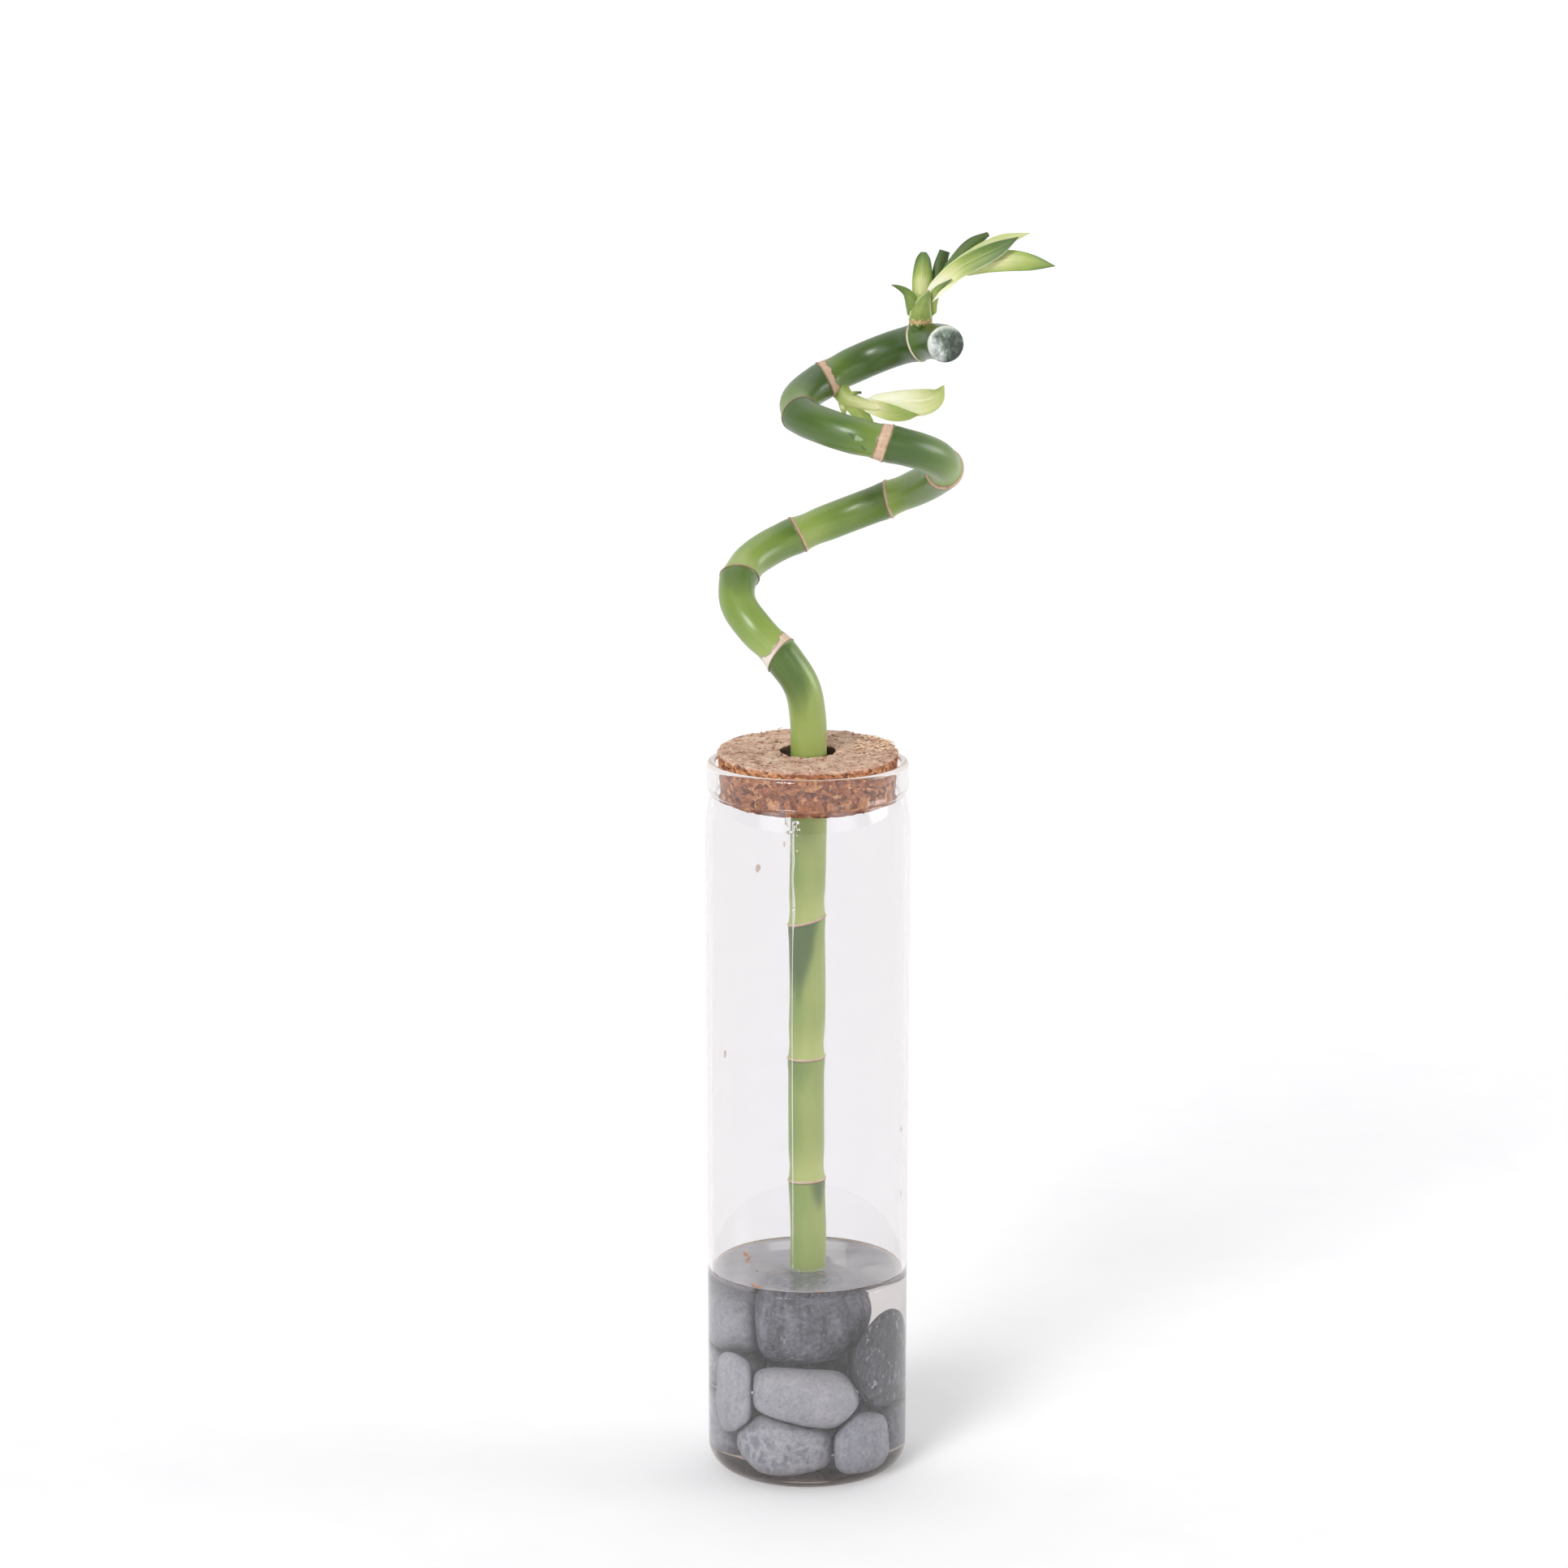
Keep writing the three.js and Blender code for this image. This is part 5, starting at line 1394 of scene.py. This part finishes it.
oliveFleck = [(-9.5, 9.2, 227.6, 0.9, 0.6, 0.5, 30), (-8.3, 8.4, 227.5, 0.5, 0.4, 0.35, 80)]

# each stuff's light and dark colour
stuffColours = {
    "waterLine": ((112, 92, 80), (58, 46, 40)),
    "rootThread": ((212, 150, 100), (160, 96, 58)),
    "paleStraw": ((242, 220, 192), (210, 170, 132)),
    "glassSpeck": ((222, 208, 198), (176, 154, 142)),
    "corkCrumb": ((188, 134, 102), (96, 52, 36)),
    "oliveFleck": ((140, 124, 60), (88, 76, 34)),
}
stuffs = {name: crumbMaterial(name, light, dark) for name, (light, dark) in stuffColours.items()}
stuffs["clearWater"] = waterStuff

# each piece's surfaces, stuff and slot
finePieces = [
    ("waterLine", [threadSurface(waterLine(), 6)], "waterLine", "water"),
    ("rootThreads", [threadSurface(thread) for thread in rootThreads], "rootThread", "cane"),
    ("waterSpecks", [grainSurface(waterSpecks, 0.4, 3)], "rootThread", "cane"),
    ("waterBubbles", [grainSurface(bubbles, 0.05, 4)], "clearWater", "water"),
    ("glassSpecks", [grainSurface(glassSpecks, 0.45, 6)], "glassSpeck", "cork"),
    ("glassDrops", [grainSurface(glassDrops, 0.25, 7), threadSurface(dropTrail, 14)], "clearWater", "water"),
    ("corkCrumbs", [grainSurface(corkCrumbs, 0.5, 8)], "corkCrumb", "cork"),
    ("paleCrumbs", [grainSurface(paleCrumbs, 0.5, 10)], "paleStraw", "cork"),
    ("corkFibres", [threadSurface(fibre) for fibre in paleFibres], "paleStraw", "cork"),
    ("corkOliveFleck", [grainSurface(oliveFleck, 0.4, 9)], "oliveFleck", "cork"),
]
for name, surfaces, stuff, slot in finePieces:
    makePiece(name, *gathered(surfaces), stuffs[stuff], slot)
print("fine things made")

# Camera, lights and floor

view = {
    "place": (-7.2335, -1495.2, 534.2), "pitch": 12.0, "focal": 6200.0, "frame": 1932.0,
    "sensor": 36.0, "farthest": 100.0,
}
camera = bpy.data.objects.new("camera", bpy.data.cameras.new("camera"))
camera.data.sensor_width = view["sensor"]
camera.data.lens = view["sensor"] * view["focal"] / view["frame"]
camera.data.clip_end = view["farthest"]
camera.location = Vector(view["place"]) * mm
camera.rotation_euler = (math.radians(90 - view["pitch"]), 0, 0)
bpy.context.scene.collection.objects.link(camera)
bpy.context.scene.camera = camera

# Soft boxes in the room's light: direction, half width and softness of the edge in degrees, strength.
softBoxes = [
    ((-0.4, -0.73, 0.55), 9, 4, 21.0),
    ((-0.64, -0.76, 0.12), 12, 9, 2.4),
    ((0.64, -0.76, 0.12), 12, 9, 1.9),
    ((0.96, 0.0, 0.18), 12, 8, 6.5),
    ((0.0, 0.2, 1.0), 28, 12, 0.5),
]
roomLight = {
    "front": 0.24, "sides": 0.2, "backdrop": 0.9, "tint": (0.99, 0.99, 1.0, 1.0),
    "sideEdge": (0.55, 0.97), "backdropEdge": (-0.1, 0.3),
}


# The room: an even pale light that falls off towards the left and right, a white backdrop behind
# and soft boxes. Each box is an eased step of the angle between the view's direction and its own.
def roomWorld():
    recipe = Recipe("softRoom", forWorld=True)
    direction = recipe.add("TexCoord", out=0)
    sideways = recipe.axis(direction, 0).size().step(*roomLight["sideEdge"])
    behind = recipe.axis(direction, 1).step(*roomLight["backdropEdge"])
    plain = sideways * (roomLight["sides"] - roomLight["front"]) + roomLight["front"]
    light = plain + behind * (roomLight["backdrop"] - plain)
    for heading, halfWidth, soft, strength in softBoxes:
        unitHeading = tuple(Vector(heading).normalized())
        near = recipe.vectorMath("DOT_PRODUCT", {0: direction, 1: unitHeading}, out=1)
        outer = math.cos(math.radians(halfWidth + soft))
        inner = math.cos(math.radians(halfWidth - soft))
        light = light + near.step(outer, inner) * strength
    return recipe.finish(recipe.add("Background", None, {"Color": roomLight["tint"], "Strength": light}))


bpy.context.scene.world = roomWorld()
bpy.context.scene.view_settings.view_transform = "Standard"

# matt and pale, and wide enough to fill the view to the horizon
paleFloor = {
    "reach": 40.0, "grainScale": 40.0, "roughness": 0.9,
    "colours": [(0.3, (0.93, 0.93, 0.935, 1)), (0.7, (0.95, 0.95, 0.95, 1))],
}


# The floor's matt stuff, with a faint grain.
def floorMaterial():
    recipe = Recipe("paleFloor")
    colour = recipe.ramp(recipe.noise(recipe.place(), paleFloor["grainScale"], 2.0), paleFloor["colours"])
    return recipe.finish(recipe.surface({"Base Color": colour, "Roughness": paleFloor["roughness"]}))


floorMesh = bpy.data.meshes.new("floor")
reach = paleFloor["reach"]
floorCorners = [(-reach, -reach, 0), (reach, -reach, 0), (reach, reach, 0), (-reach, reach, 0)]
floorMesh.from_pydata(floorCorners, [], [(0, 1, 2, 3)])
floorMesh.materials.append(floorMaterial())
floor = bpy.data.objects.new("floor", floorMesh)
bpy.context.scene.collection.objects.link(floor)
print("camera, lights and floor ready")

bpy.context.view_layer.update()
